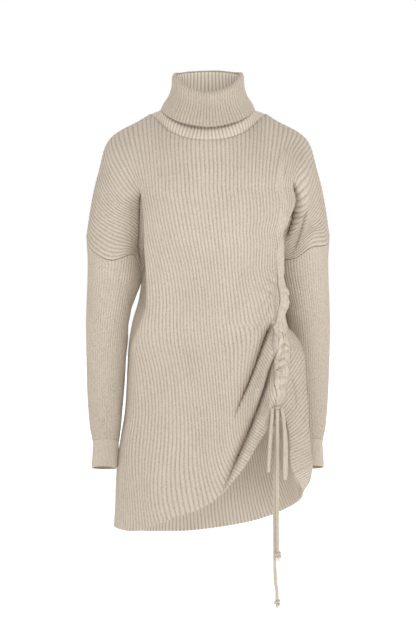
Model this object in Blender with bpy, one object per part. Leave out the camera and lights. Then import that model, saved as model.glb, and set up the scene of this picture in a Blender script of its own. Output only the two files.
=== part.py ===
"""Turtleneck tunic sweater, worn form without a wearer.

Millimetres while modelling, metres in the mesh. X is the wearer's left, -Y is
the front, Z is up. The origin is the hold point between the shoulders at the
height of the shoulder's top by the neck.

Each cloth piece is a surface laid out in its own knitting directions (u counts
ribs from the centre line, rows run from the top seam to the hem) and given a
wall. Sections, guide ribs and folds come from the short tables below.
"""

import bpy
import numpy as np

for thing in list(bpy.data.objects):
    bpy.data.objects.remove(thing, do_unlink=True)

WALL = 3.0  # chunky knit
SEAM = 0.24  # each side draws back this far from a seam
RIBS = 42  # ribs from the centre line to a side seam
NECK_RIB = 14  # ribs from the centre line to the corner of the neckline
CASING_RIB = 21  # the casing runs down this rib on the wearer's left
YOKE_ROWS, BODY_ROWS = 24, 60
UNDERARM_Z = -303.0


def through(knots, values, at):
    """A smooth curve through rows of values that doesn't swing past them."""
    k, v = np.asarray(knots, float), np.asarray(values, float)
    v = v.reshape(len(k), -1)
    step = np.diff(k)[:, None]
    slope = np.diff(v, axis=0) / step
    m = np.zeros_like(v)
    m[0], m[-1] = slope[0], slope[-1]
    a, b = slope[:-1], slope[1:]
    same = a * b > 0
    m[1:-1] = np.where(same, 2 * a * b / np.where(same, a + b, 1), 0)
    at = np.clip(np.asarray(at, float), k[0], k[-1])
    i = np.clip(np.searchsorted(k, at, side="right") - 1, 0, len(k) - 2)
    h = step[i, 0]
    f = ((at - k[i]) / h)[..., None]
    h = h[..., None]
    return (
        v[i] * (2 * f**3 - 3 * f**2 + 1)
        + v[i + 1] * (3 * f**2 - 2 * f**3)
        + m[i] * h * (f**3 - 2 * f**2 + f)
        + m[i + 1] * h * (f**3 - f**2)
    )


def bezier(p0, p1, p2, p3, f):
    """Cubic arcs for a row of end points and handles, sampled at f."""
    f = np.asarray(f)[None, :, None]
    p0, p1, p2, p3 = (p[:, None, :] for p in (p0, p1, p2, p3))
    return (
        p0 * (1 - f) ** 3
        + 3 * p1 * f * (1 - f) ** 2
        + 3 * p2 * f**2 * (1 - f)
        + p3 * f**3
    )


def along(points, ends, at):
    """Points of a polyline, smoothed, where parameter `at` runs by length between ends."""
    p = np.asarray(points, float)
    run = np.concatenate([[0], np.cumsum(np.linalg.norm(np.diff(p, axis=0), axis=1))])
    return through(ends[0] + run / run[-1] * (ends[1] - ends[0]), p, at)


# Torso sections. z: height. Each side has its fold edge (lip: rib, x, y), how far
# the wall behind it is tucked in, and its side seam. Above the underarm the side
# columns only steer the wall inside the armpit crease.
SIDE = {
    -1: (  # z, lip_rib, lip_x, lip_y, tuck_x, seam_x, seam_y
        (-770, 30, 152, -52, 164, 167, 5),
        (-720, 30, 154, -54, 165, 168, 5),
        (-660, 30, 152, -54, 162, 166, 6),
        (-600, 29, 143, -53, 153, 155.5, 6),
        (-540, 29, 134, -50, 143, 146, 6),
        (-480, 28, 131, -48, 139.5, 143, 6),
        (-425, 26, 130, -46, 136, 140.5, 6),
        (-385, 24, 119, -58, 120, 135, 6),
        (-345, 23, 108, -66, 106, 123, 6),
        (-312, 23, 110, -68, 102, 118, 7),
        (-250, 22, 114, -67, 103, 116, 20),
        (-200, 21, 115, -64, 104, 116, 32),
        (-157, 20, 118, -58, 108, 116, 44),
    ),
    1: (
        (-770, 23.5, 137, -100, 160, 168, -2),
        (-600, 23.5, 137, -100, 148, 150, 4),
        (-540, 23.5, 137, -97, 144, 146, 6),
        (-480, 23.5, 136, -92, 138, 140, 6),
        (-430, 23.5, 135, -86, 130, 136, 6),
        (-385, 23.5, 134, -84, 121, 131, 6),
        (-367, 23.5, 132, -84, 116, 128, 6),
        (-343, 24.5, 138, -84, 112, 122, 6),
        (-312, 24, 132, -81, 108, 118, 7),
        (-278, 24.5, 134, -79, 108, 116, 12),
        (-243, 24.5, 134, -78, 108, 116, 20),
        (-228, 25, 131, -77, 110, 116, 24),
        (-214, 26, 141, -76, 114, 116, 28),
        (-183, 27.5, 153, -73, 124, 118, 34),
        (-150, 27, 148, -66, 138, 124, 40),
    ),
}
# Centre line of the front and the back: depth, how much the ribs spread at the
# centre, and how far rib 0 has been pulled to the casing's side.
CENTRE = (  # z, front_y, back_y, spread, pull
    (-770, -126, 112, 0.00, 54),
    (-680, -124, 110, 0.00, 50),
    (-600, -120, 108, 0.00, 44),
    (-500, -112, 102, 0.00, 34),
    (-400, -102, 92, 0.02, 25),
    (-300, -105, 88, 0.08, 18),
    (-200, -112, 94, 0.24, 8),
    (-150, -107, 97, 0.25, 3),
)
# Where the armpit crease starts: rib and height; and how evenly the ribs end in it.
CREASE = {-1: (20, -157.0, 1.0), 1: (27, -150.0, 0.55)}
BACK_CREASE = (20, -157.0, 1.0)
# Shoulder seam, from the neckline's corner over the shoulder and down the arm.
SHOULDER = (  # x, y, z
    (101, 2, -9),
    (112, 2, -17.5),
    (123, 2, -25),
    (149, 2, -37),
    (166, 2, -47),
    (176, 2, -55),
    (182.5, 1, -67),
    (187, 1, -82),
    (191, 0, -103),
    (200, 0, -134),
    (206, 0, -163),
    (211, 0, -194),
    (216, 0, -229),
)
NECKLINE = (  # rib, x, front_y, front_z, back_y, back_z
    (0, 0, -84, -66, 72, -3),
    (3.5, 25.5, -80, -64, 70, -4),
    (7, 49.5, -67, -57, 61, -6),
    (10.5, 76, -42, -42, 42, -7),
    (14, 101, 2, -9, 2, -9),
)
# Handles of a guide rib from the top seam to the crease: out, forward, up.
YOKE = (  # rib, from the seam (3), from the crease (3)
    (0, 0, -11, -32, 0, 6, 32),
    (7, 2, -18, -28, 0, 5, 34),
    (14, 3, -40, -16, 0, 0, 48),
    (20, 0, -54, -32, 4, -6, 40),
    (27, -6, -62, -56, 30, -16, 6),
    (34, -8, -62, -50, 28, -30, 30),
    (42, -6, -62, -62, 14, -72, 80),
)
FRONT_HEM = (  # left side seam to the casing
    (-166, 5, -744),
    (-161, -45, -743),
    (-138, -82, -745),
    (-114, -98, -742),
    (-89, -108, -730),
    (-44, -117, -713),
    (-13, -120, -703),
    (20, -120, -681),
    (44, -118, -655),
    (70, -115, -619),
    (87, -112, -588),
    (107, -108, -560),
    (121, -103, -538),
)
HEM_DRAW = ((-42, -20, 0, 10, 20), (0, 2, 5.5, 4.5, 0))  # ribs the hem is drawn to the casing
# The flap right of the casing: its hem and the handles that swing its ribs out
# past the hip and back in to the hem.
FLAP = (  # rib, hem (3), from the waist (3), from the hem (3)
    (23, 130, -99, -537, 2, -6, -50, 0, 0, 50),
    (28.5, 139, -97, -569, 48, -14, -30, 52, 2, 40),
    (33, 141, -95, -594, 20, -14, -80, 80, 8, 10),
    (39, 142, -91, -629, 6, -8, -160, 92, 18, 0),
    (42, 148, -84, -645, 6, -12, -170, 87, 20, 8),
)
# Guide ribs at the right side, where the hem is drawn forward past the cuff:
# the side seam first, then ribs of the back.
TAIL = (  # rib, upper (3), middle (3), outermost (3), hem (3)
    (42, 141, 2, -500, 151, -26, -578, 184, -63, -623, 148, -84, -645),
    (39, 145, 8, -520, 151, -32, -606, 184, -55, -642, 157, -68, -658),
    (36, 147, 15, -540, 155, -12, -650, 181, -36, -664, 165, -44, -672),
    (32, 149, 30, -560, 153, 12, -652, 168, 0, -680, 168, -8, -690),
    (27, 142, 58, -560, 152, 46, -645, 160, 38, -685, 161, 32, -703),
)
BACK_HEM = (  # left side seam to right side seam
    (-166, 5, -744),
    (-155, 52, -756),
    (-113, 88, -765),
    (-46, 106, -767),
    (0, 108, -763),
    (89, 99, -746),
    (130, 84, -729),
    (153, 58, -714),
    (166, 20, -699),
    (168, -8, -688),
    (165, -42, -673),
    (158, -66, -659),
    (148, -84, -645),
)
NUDGES = (  # how the ribs over the armpits swing: x, z, along x, along z, reach
    (-170, -262, 0, -15, 27),
    (-122, -288, 0, 26, 22),
    (-130, -206, 0, 12, 30),
    (186, -244, 0, 16, 20),
    (152, -262, 0, -10, 20),
    (142, -430, 13, 0, 30),
    (166, -88, -10, 0, 24),
    (150, -160, 8, 0, 24),
)
# Folds of the front: valley line in the front view, depth, half width.
FOLDS = (  # x1, z1, x2, z2, x3, z3, x4, z4, depth, width
    (114, -386, 97, -418, 77, -466, 62, -505, 9, 6),
    (118, -428, 101, -490, 70, -568, 22, -679, 10, 6),
)
ROLLS = (  # the swollen cloth between and beside them
    (119, -404, 108, -440, 88, -500, 64, -560, 8, 11),
    (123, -450, 112, -500, 88, -560, 40, -655, 5, 10),
)


def torso(rib, z, side, back=False):
    """Point of the torso at a rib and a height, on one side."""
    a = np.abs(rib)
    table = SIDE[-1] if back else SIDE[side]
    row = through([r[0] for r in table], [r[1:] for r in table], z)
    mid = through([r[0] for r in CENTRE], [r[1:] for r in CENTRE], z)
    lip_rib, lip_x, lip_y, tuck_x, seam_x, seam_y = np.moveaxis(row, -1, 0)
    if side == 1:  # both panels share each side seam
        own = SIDE[1]
        seam = through([r[0] for r in own], [r[5:] for r in own], z)
        seam_x, seam_y = seam[..., 0], seam[..., 1]
        if back:
            lip_x = np.minimum(lip_x, seam_x - 3)
            tuck_x = np.minimum(tuck_x, seam_x - 1)
    front_y, back_y, spread, pull = np.moveaxis(mid, -1, 0)
    centre_y = back_y if back else front_y
    if back:
        lip_y = 12 - lip_y * 0.82
        tuck_x = np.maximum(tuck_x, 0.5 * (lip_x + seam_x) - 3)
    q = np.clip(a / lip_rib, 0, 1)
    x = lip_x * (q + spread * q * (1 - q * q)) + side * pull * (1 - q * q)
    y = centre_y + (lip_y - centre_y) * q**2.5
    r = np.clip((a - lip_rib) / (RIBS - lip_rib), 0, 1)
    bend = 2 * tuck_x - 0.5 * (lip_x + seam_x)
    wall_x = (1 - r) ** 2 * lip_x + 2 * r * (1 - r) * bend + r * r * seam_x
    wall_y = lip_y + (seam_y - lip_y) * r
    behind = a > lip_rib
    x, y = np.where(behind, wall_x, x), np.where(behind, wall_y, y)
    return np.stack([side * x, y, z + 0 * x], axis=-1)


def crease_height(rib, crease):
    first, top, power = crease
    f = np.clip((np.abs(rib) - first) / (RIBS - first), 0, 1) ** power
    return top + (UNDERARM_Z - top) * f


def top_edge(rib, back=False):
    """Neckline to its corner, then the shoulder seam."""
    a, s = np.abs(rib), np.where(rib < 0, -1, 1)
    neck = through([r[0] for r in NECKLINE], [r[1:] for r in NECKLINE], a)
    y, z = (neck[..., 3], neck[..., 4]) if back else (neck[..., 1], neck[..., 2])
    neck = np.stack([neck[..., 0], y, z], axis=-1)
    seam = along(SHOULDER, (NECK_RIB, RIBS), a)
    point = np.where((a > NECK_RIB)[..., None], seam, neck)
    return point * np.stack([s, 1 + 0 * s, 1 + 0 * s], axis=-1)


def yoke(ribs, back=False):
    """Every rib from the top seam to the level of the armpit crease."""
    a = np.abs(ribs)
    top = top_edge(ribs, back)
    foot = np.empty_like(top)
    for side in (-1, 1):
        mine = (ribs < 0) if side < 0 else (ribs >= 0)
        crease = BACK_CREASE if back else CREASE[side]
        z = crease_height(ribs[mine], crease)
        foot[mine] = torso(ribs[mine], z, side, back)
    first = np.where(ribs < 0, CREASE[-1][0], CREASE[1][0]) if not back else 20 + 0 * a
    # Guide ribs are set out for a crease that starts at rib 20.
    at = np.where(a > first, 20 + (a - first) * 22 / (42 - first), np.minimum(a, 20))
    hold = through([r[0] for r in YOKE], [r[1:] for r in YOKE], at)
    turn = np.stack([np.where(ribs < 0, -1, 1), 0 * a + (-1 if back else 1), 1 + 0 * a], -1)
    h1, h2 = hold[:, :3] * turn, hold[:, 3:] * turn
    return bezier(top, top + h1, foot + h2, foot, np.linspace(0, 1, YOKE_ROWS + 1))


def body(ribs, back=False):
    """Every rib from the crease to the hem."""
    f = np.linspace(0, 1, BODY_ROWS + 1)
    out = np.empty((len(ribs), len(f), 3))
    for i, rib in enumerate(ribs):
        side = -1 if rib < 0 else 1
        crease = BACK_CREASE if back else CREASE[side]
        top = crease_height(rib, crease)
        a = abs(rib)
        seam_side = a == RIBS
        if not back and rib <= 20:
            drawn = through(*HEM_DRAW, rib)[0]
            hem = along(FRONT_HEM, (-RIBS, 20), rib + drawn)
            turn_z = through((-42, 0, 20), (-600, -500, -430), rib)[0]
            h1, h2, reach = None, None, 0.4
        elif not back or (seam_side and side > 0):
            row = through([r[0] for r in FLAP], [r[1:] for r in FLAP], max(a, 23))[..., :]
            hem, h1, h2 = row[:3], row[3:6], row[6:]
            turn_z = -385.0
            if a < 23:
                share = (a - 20) / 3
                left = along(FRONT_HEM, (-RIBS, 20), 20)
                hem = left + (hem - left) * share
                turn_z = -430 + 45 * share
                h1, h2 = np.array([0, -4, -45]), np.array([0, 0, 45])
        else:
            hem = along(BACK_HEM, (-RIBS, RIBS), rib)
            turn_z = through((-42, 30, 42), (-600, -560, -470), rib)[0]
            h1, h2, reach = None, None, 0.42
        guided = side > 0 and a > 27 and (back or a > 39)
        if guided:
            turn_z = -385.0 if not back else through((27, 42), (-450, -385), a)[0]
        levels = np.array([top + (turn_z - top) * g for g in np.linspace(0, 1, 40)])
        upper = torso(np.full(40, float(rib)), levels, side, back)
        start = upper[-1]
        if h1 is None:
            tangent = along(
                BACK_HEM if back else FRONT_HEM,
                (-RIBS, RIBS) if back else (-RIBS, 20),
                np.array([rib - 0.5, rib + 0.5]),
            )
            tangent = np.atleast_2d(tangent)
            run = tangent[1] - tangent[0]
            run = run / max(np.linalg.norm(run), 1e-9)
            reach_to = start - hem
            h2 = reach_to - run * (reach_to @ run)
            size = np.linalg.norm(reach_to)
            h2 = h2 / np.linalg.norm(h2) * size * 0.36
            down = upper[-1] - upper[-2]
            h1 = down / np.linalg.norm(down) * size * reach
        lower = bezier(
            start[None], (start + h1)[None], (hem + h2)[None], hem[None],
            np.linspace(0, 1, 60),
        )[0]
        if guided:
            table = TAIL[::-1]
            mark = through([r[0] for r in table], [r[1:] for r in table], a if back else 42)
            swing = along(np.vstack([start, mark.reshape(4, 3)]), (0, 1), np.linspace(0, 1, 60))
            lower = swing if back else lower + (swing - lower) * (a - 39) / 3
        path = np.concatenate([upper[:-1], lower])
        run = np.concatenate([[0], np.cumsum(np.linalg.norm(np.diff(path, axis=0), axis=1))])
        for k in range(3):
            out[i, :, k] = np.interp(f * run[-1], run, path[:, k])
    return out


def soften(grid, times, keep_sides=True):
    """Rounds the fold edges across the ribs."""
    g = grid.copy()
    for _ in range(times):
        inner = 0.25 * g[:-2] + 0.5 * g[1:-1] + 0.25 * g[2:]
        g[1:-1] = inner
    for _ in range(max(1, times // 2)):
        g[:, 1:-1] = 0.25 * g[:, :-2] + 0.5 * g[:, 1:-1] + 0.25 * g[:, 2:]
    return g


def normals(grid, round_u=False):
    """Unit normals of a grid, outward when ribs run left to right and rows down."""
    if round_u:
        du = np.roll(grid, -1, 0) - np.roll(grid, 1, 0)
    else:
        du = np.gradient(grid, axis=0)
    dv = np.gradient(grid, axis=1)
    n = np.cross(dv, du)
    return n / np.maximum(np.linalg.norm(n, axis=-1, keepdims=True), 1e-9)


def fold_offset(grid):
    """How far the front cloth stands out, from the fold and roll tables."""
    lift = np.zeros(grid.shape[:2])
    x, z = grid[..., 0], grid[..., 2]
    for sign, table in ((-1, FOLDS), (1, ROLLS)):
        for row in table:
            line = np.reshape(row[:8], (4, 2))
            track = along(np.c_[line, 0 * line[:, :1]], (0, 1), np.linspace(0, 1, 60))
            d = np.hypot(x[..., None] - track[:, 0], z[..., None] - track[:, 1])
            near = d.argmin(-1)
            fade = np.interp(near / 59, (0, 0.15, 0.75, 1), (0.7, 1, 0.8, 0))
            lift += sign * row[8] * fade * np.exp(-((d.min(-1) / row[9]) ** 2))
    return lift


def nudged(grid, table):
    """Moves the cloth in the front view, round each point of the table."""
    push = np.zeros(grid.shape)
    near = np.clip((-5 - grid[..., 1]) / 25, 0, 1)
    for x, z, dx, dz, reach in table:
        d = ((grid[..., 0] - x) ** 2 + (grid[..., 2] - z) ** 2) / reach**2
        push += (near * np.exp(-d))[..., None] * (dx, 0, dz)
    return grid + push


def front_grid():
    ribs = np.arange(-RIBS, RIBS + 1)
    g = np.concatenate([yoke(ribs), body(ribs)[:, 1:]], axis=1)
    g = nudged(g, NUDGES)
    g = soften(g, 3)
    return g + normals(g) * fold_offset(g)[..., None]


def back_grid():
    ribs = np.arange(-RIBS, RIBS + 1)
    g = np.concatenate([yoke(ribs, True), body(ribs, True)[:, 1:]], axis=1)
    return soften(g, 3)


def facing_out(points, faces):
    p, f = np.asarray(points), np.array(faces)
    volume = np.einsum("ij,ij->i", p[f[:, 0]], np.cross(p[f[:, 1]], p[f[:, 2]])).sum()
    return [tuple(face) for face in (f[:, ::-1] if volume < 0 else f).tolist()]


KNIT = {  # the linear colour of each kind of knit; all are matt and not metallic
    "body_knit": (0.60, 0.50, 0.40),
    "sleeve_knit": (0.62, 0.52, 0.42),
    "collar_knit": (0.62, 0.53, 0.42),
    "casing_knit": (0.64, 0.54, 0.43),
    "cord_knit": (0.63, 0.53, 0.42),
}


def paint(thing, kind):
    """Gives an object its own material."""
    look = bpy.data.materials.new(f"{thing.name}_{kind}")
    look.use_nodes = True
    shader = look.node_tree.nodes["Principled BSDF"]
    shader.inputs["Base Color"].default_value = (*KNIT[kind], 1)
    shader.inputs["Roughness"].default_value = 0.95
    shader.inputs["Metallic"].default_value = 0
    thing.data.materials.append(look)
    return thing


def mesh_object(name, points, faces):
    mesh = bpy.data.meshes.new(name)
    mesh.from_pydata((np.asarray(points) * 0.001).tolist(), [], faces)
    thing = bpy.data.objects.new(name, mesh)
    bpy.context.scene.collection.objects.link(thing)
    kind = name.split("_")[0]
    kinds = {"front": "body", "back": "body", "sleeve": "sleeve", "cuff": "sleeve",
             "turtleneck": "collar", "drawstring": "casing", "bow": "cord"}
    return paint(thing, kinds[kind] + "_knit")


def wall(name, grid, normal, round_u=False, thick=WALL):
    """A closed wall round a surface grid, half its thickness each way."""
    n, m = grid.shape[:2]
    outer, inner = grid + normal * thick / 2, grid - normal * thick / 2
    points = np.concatenate([outer.reshape(-1, 3), inner.reshape(-1, 3)])
    faces = []

    def at(i, j, layer):
        return (i % n) * m + j + layer * n * m

    def quad(a, b, c, d):
        faces.extend([(a, b, c), (a, c, d)])

    for i in range(n if round_u else n - 1):
        for j in range(m - 1):
            quad(at(i, j, 0), at(i, j + 1, 0), at(i + 1, j + 1, 0), at(i + 1, j, 0))
            quad(at(i, j, 1), at(i + 1, j, 1), at(i + 1, j + 1, 1), at(i, j + 1, 1))
        quad(at(i, 0, 0), at(i + 1, 0, 0), at(i + 1, 0, 1), at(i, 0, 1))
        quad(at(i, m - 1, 0), at(i, m - 1, 1), at(i + 1, m - 1, 1), at(i + 1, m - 1, 0))
    if not round_u:
        for j in range(m - 1):
            quad(at(0, j, 0), at(0, j, 1), at(0, j + 1, 1), at(0, j + 1, 0))
            quad(at(n - 1, j, 0), at(n - 1, j + 1, 0), at(n - 1, j + 1, 1), at(n - 1, j, 1))
    return mesh_object(name, points, facing_out(points, faces))


# Arm sections at the middle of the wall: height, centre x, centre y, half width
# across, half depth, and the tilt of the section (its front edge is the higher).
ARM = (  # z, cx, cy, rx, ry, tilt
    (-640, 183.0, -21, 21.5, 29.5, 10),
    (-615, 182.0, -17, 21.5, 29.0, 10),
    (-594, 181.2, -13, 22.5, 29.5, 10),
    (-570, 181.8, -8, 26.5, 32, 9),
    (-525, 182.2, -1, 30.5, 35, 8),
    (-470, 181.5, 5, 33.5, 37.5, 5),
    (-400, 180.0, 7, 36.5, 41, 2),
    (-340, 174.7, 4, 40.3, 44, 0),
    (-312, 171.0, 3, 42.8, 46, 0),
    (-265, 168.5, 1, 45.0, 47, 0),
    (-229, 169.5, 0, 46.5, 48.5, 0),
)
ARM_BACK = {-1: 0.0, 1: 14.0}  # the arm beside the flap hangs a little further back
CUFF_TOP, CUFF_END = -593.0, -640.0


def arm(turn, z, side):
    """Point of the arm's tube. turn: 0 outside, a quarter in front, a half inside."""
    row = through([r[0] for r in ARM], [r[1:] for r in ARM], z)
    cx, cy, rx, ry, tilt = np.moveaxis(row, -1, 0)
    cy = cy + ARM_BACK[side] * np.clip((-340 - z) / 220, 0, 1)
    c, s = np.cos(turn), np.sin(turn)
    return np.stack(
        [side * (cx + rx * c), cy - ry * s, z + ry * s * np.tan(np.radians(tilt))], axis=-1
    )


def armhole(front, back, side):
    """The seam's ring: from the outside over the front to the underarm and back."""
    i = 0 if side < 0 else -1
    return np.concatenate([front[i, : YOKE_ROWS + 1], back[i, 1:YOKE_ROWS][::-1]])


def sleeve_grid(ring, side, rows, end=CUFF_TOP):
    """The sleeve from its ring at the armhole down to the cuff."""
    centre = through([r[0] for r in ARM], [r[1:3] for r in ARM], ring[:, 2])
    turn = np.arctan2(centre[:, 1] - ring[:, 1], side * ring[:, 0] - centre[:, 0])
    turn = np.unwrap(turn)
    turn -= 2 * np.pi * round((turn.mean() - np.pi) / (2 * np.pi))
    even = np.arange(len(ring)) / len(ring) * 2 * np.pi
    f = np.linspace(0, 1, rows)[None]
    z = ring[:, 2:3] + (end - ring[:, 2:3]) * f
    calm = 1 - (1 - f) ** 2
    angle = turn[:, None] + (even - turn)[:, None] * calm
    tube = arm(angle, z, side)
    off = (ring - arm(turn, ring[:, 2], side))[:, None]
    away = (ring[:, 2:3] - z)[..., None]
    keep = np.exp(-((away / 42) ** 2))
    # The last row leaves the tilt of its section to the cuff as well.
    return tube + off * keep


def cuff_grid(columns, side, rows, start=CUFF_TOP, end=CUFF_END):
    angle = np.arange(columns)[:, None] / columns * 2 * np.pi
    z = np.linspace(start, end, rows)[None]
    return arm(angle + 0 * z, z + 0 * angle, side)


# The collar's rings from the neckline up, over the rim and down to the free edge.
COLLAR = (  # half width, front y, back y, front z, side z, back z
    (84, -77, 67, -52, -6, 8),
    (69, -66, 61, -33, 8, 22),
    (58.5, -54, 57, -8, 30, 44),
    (56, -50, 56, 12, 52, 65),
    (59, -52.5, 58.5, 20, 60, 72.5),
    (62.3, -57.5, 62, 16, 54, 68),
    (63.3, -62, 64, 2, 38, 56),
    (69, -71, 68, -16, 20, 40),
    (78, -81, 73, -32, 6, 26),
    (83.5, -90, 77, -46, -8, 12),
)


def collar_grid(base, rows):
    """Columns follow the points of the neckline; rows run from the seam to the edge."""
    angle = np.unwrap(np.arctan2(base[:, 0] / 99.5, -(base[:, 1] + 6) / 78))
    c, s = np.cos(angle), np.sin(angle)
    rings = [base]
    for half, yf, yb, zf, zs, zb in COLLAR:
        y = np.where(c > 0, yf * c, -yb * c)
        lean = np.abs(c) ** 1.3
        z = np.where(c > 0, zs + (zf - zs) * lean, zs + (zb - zs) * lean)
        rings.append(np.stack([half * s, y, z], axis=-1))
    rings = np.array(rings)
    run = np.linalg.norm(np.diff(rings, axis=0), axis=-1).mean(1)
    run = np.concatenate([[0], np.cumsum(run)]) / run.sum()
    at = np.interp(np.linspace(0, len(run) - 1, rows), np.arange(len(run)), run)
    grid = through(run, rings.reshape(len(rings), -1), at)
    return grid.reshape(rows, -1, 3).transpose(1, 0, 2)


# Casing: height, half width, thickness, shift to the wearer's left.
CASING = (
    (-525, 5, 4.5, -2),
    (-518, 8.5, 5.5, 1.5),
    (-507, 10.5, 7, 5),
    (-492, 12, 8, 3.3),
    (-481, 15, 9.5, 3.4),
    (-464, 16.5, 10, 0),
    (-447, 16, 9.5, -5),
    (-433, 16, 9, -7.5),
    (-421, 14.5, 8.5, -7),
    (-404, 13, 8, -5),
    (-387, 13.5, 7, -3.4),
    (-370, 8.6, 5.5, 1),
    (-361, 9.5, 7, 3.6),
    (-340, 9.2, 8.5, 7),
    (-327, 8.5, 7.5, 6),
    (-312, 7.5, 5.5, 4),
    (-262, 8, 4.5, 2),
    (-250, 6.5, 4, 2.5),
    (-238, 7.5, 4, 3.5),
    (-190, 8, 4, 0),
    (-148, 8, 4, -5),
    (-120, 8, 4, -9),
    (-98, 7, 3.6, -10),
    (-86, 2.5, 3, -9),
)
SECTION = (  # across, up: the casing's cross-section, rim to rim
    (-1, 0), (-0.82, 0.6), (-0.35, 0.97), (0.35, 0.97), (0.82, 0.6), (1, 0),
    (0.7, 0), (0.35, 0), (0, 0), (-0.35, 0), (-0.7, 0),
)


def foremost(panel, x, z):
    """How far forward a panel's own facets reach at points of the front view."""
    a, b = panel[:-1, :-1].reshape(-1, 3), panel[:-1, 1:].reshape(-1, 3)
    c, d = panel[1:, 1:].reshape(-1, 3), panel[1:, :-1].reshape(-1, 3)
    p, q, r = (np.concatenate(k) for k in ((a, a), (b, c), (c, d)))
    x, z = x[:, None], z[:, None]
    area = (q[:, 0] - p[:, 0]) * (r[:, 2] - p[:, 2]) - (r[:, 0] - p[:, 0]) * (q[:, 2] - p[:, 2])
    area = np.where(np.abs(area) < 1e-6, np.nan, area)
    v = ((x - p[:, 0]) * (r[:, 2] - p[:, 2]) - (r[:, 0] - p[:, 0]) * (z - p[:, 2])) / area
    w = ((q[:, 0] - p[:, 0]) * (z - p[:, 2]) - (x - p[:, 0]) * (q[:, 2] - p[:, 2])) / area
    y = p[:, 1] + v * (q[:, 1] - p[:, 1]) + w * (r[:, 1] - p[:, 1])
    inside = (v > -0.02) & (w > -0.02) & (v + w < 1.02)
    return np.where(inside, y, 1e3).min(1)


def casing_rings(panel, ribs, axis, heights, lift):
    """Cross-sections of the casing that lie on the panel's own facets, lifted clear."""
    path = panel[int(np.argmin(np.abs(ribs - axis)))]
    order = np.argsort(path[:, 2])
    rings = []
    for z in heights:
        centre = [np.interp(z, path[order, 2], path[order, k]) for k in (0, 1)]
        half, high, shift = through([r[0] for r in CASING], [r[1:] for r in CASING], z)
        ring = []
        for a, b in SECTION:
            at = centre[0] + shift + a * half
            around = at + np.array([-4, -2, 0, 2, 4])
            rest = foremost(panel, around, np.full(5, max(z, -536.0)))
            rest = np.where(rest > 500, centre[1] + 6, rest)
            slope = np.clip(np.abs(rest[3] - rest[1]) / 4, 0, 1)
            ring.append((at, rest.min() - lift * np.hypot(1, slope) - b * high, z))
        rings.append(ring)
    return np.array(rings)


def loft(name, rings, caps=True):
    """A closed tube through rings of points."""
    rings = np.asarray(rings, float)
    k, n = rings.shape[:2]
    points = rings.reshape(-1, 3).tolist()
    faces = []
    for j in range(k - 1):
        for i in range(n):
            a, b = j * n + i, j * n + (i + 1) % n
            faces += [(a, b, b + n), (a, b + n, a + n)]
    if caps:
        first, last = len(points), len(points) + 1
        points += [rings[0].mean(0).tolist(), rings[-1].mean(0).tolist()]
        for i in range(n):
            faces.append((first, (i + 1) % n, i))
            faces.append((last, (k - 1) * n + i, (k - 1) * n + (i + 1) % n))
    return mesh_object(name, points, facing_out(points, faces))


def cord(name, points, step, end=()):
    """A limp round cord: a curve through smoothed points. end: thickness of its last points."""
    fine = along(points, (0, 1), np.linspace(0, 1, 400))
    run = np.concatenate([[0], np.cumsum(np.linalg.norm(np.diff(fine, axis=0), axis=1))])
    stop = run[-1] - KNOT_STEP * len(end)
    marks = np.linspace(0, stop, int(round(stop / step)) + 1)
    marks = np.r_[marks, stop + KNOT_STEP * np.arange(1, len(end) + 1)]
    curve = bpy.data.curves.new(name, "CURVE")
    curve.dimensions = "3D"
    curve.bevel_depth = CORD * 0.0005
    curve.bevel_resolution = 2
    curve.use_fill_caps = True
    line = curve.splines.new("POLY")
    line.points.add(len(marks) - 1)
    for i, at in enumerate(marks):
        place = [np.interp(at, run, fine[:, k]) * 0.001 for k in range(3)]
        line.points[i].co = (*place, 1)
    for point, size in zip(line.points[len(marks) - len(end):], end):
        point.radius = size
    thing = bpy.data.objects.new(name, curve)
    bpy.context.scene.collection.objects.link(thing)
    return paint(thing, "cord_knit")


# ---- the garment ----
front, back = front_grid(), back_grid()
for i in (0, -1):  # one side seam for both panels
    shared = 0.5 * (front[i, YOKE_ROWS:] + back[i, YOKE_ROWS:])
    front[i, YOKE_ROWS:] = back[i, YOKE_ROWS:] = shared
    front[i, 0] = back[i, 0] = 0.5 * (front[i, 0] + back[i, 0])
front[:NECK_RIB * 2, 0], back[:NECK_RIB * 2, 0] = (
    0.5 * (front[: NECK_RIB * 2, 0] + back[: NECK_RIB * 2, 0]),
) * 2
front[-NECK_RIB * 2 :, 0] = back[-NECK_RIB * 2 :, 0] = 0.5 * (
    front[-NECK_RIB * 2 :, 0] + back[-NECK_RIB * 2 :, 0]
)
corner_l, corner_r = RIBS - NECK_RIB, RIBS + NECK_RIB
for i in (corner_l, corner_r):
    front[i, 0] = back[i, 0] = 0.5 * (front[i, 0] + back[i, 0])

hem_row = YOKE_ROWS + BODY_ROWS
rows = np.r_[0 : YOKE_ROWS : 3, YOKE_ROWS : hem_row - 20 : 4, hem_row - 20 : hem_row : 3, hem_row]
cols_f = RIBS + np.array(
    [-42, -39, -36, -33, -30, -27, -24, -22, -20, -17, -14, -12, -9, -6, -3, 0]
    + [3, 6, 9, 12, 14, 17, 19, 21, 23, 25, 27, 30, 33, 36, 39, 42]
)
cols_b = RIBS + np.array(
    [-42, -38, -34, -30, -26, -22, -20, -17, -14, -12, -9, -6, -3, 0]
    + [3, 6, 9, 12, 14, 17, 20, 22, 26, 29, 32, 34, 36, 38, 40, 42]
)
F = front[np.ix_(cols_f, rows)]
B = back[np.ix_(cols_b, rows)]
yoke_count = int(np.searchsorted(rows, YOKE_ROWS))
nf, nb = normals(F), -normals(B)


def unit(v):
    return v / np.maximum(np.linalg.norm(v, axis=-1, keepdims=True), 1e-9)


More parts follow.
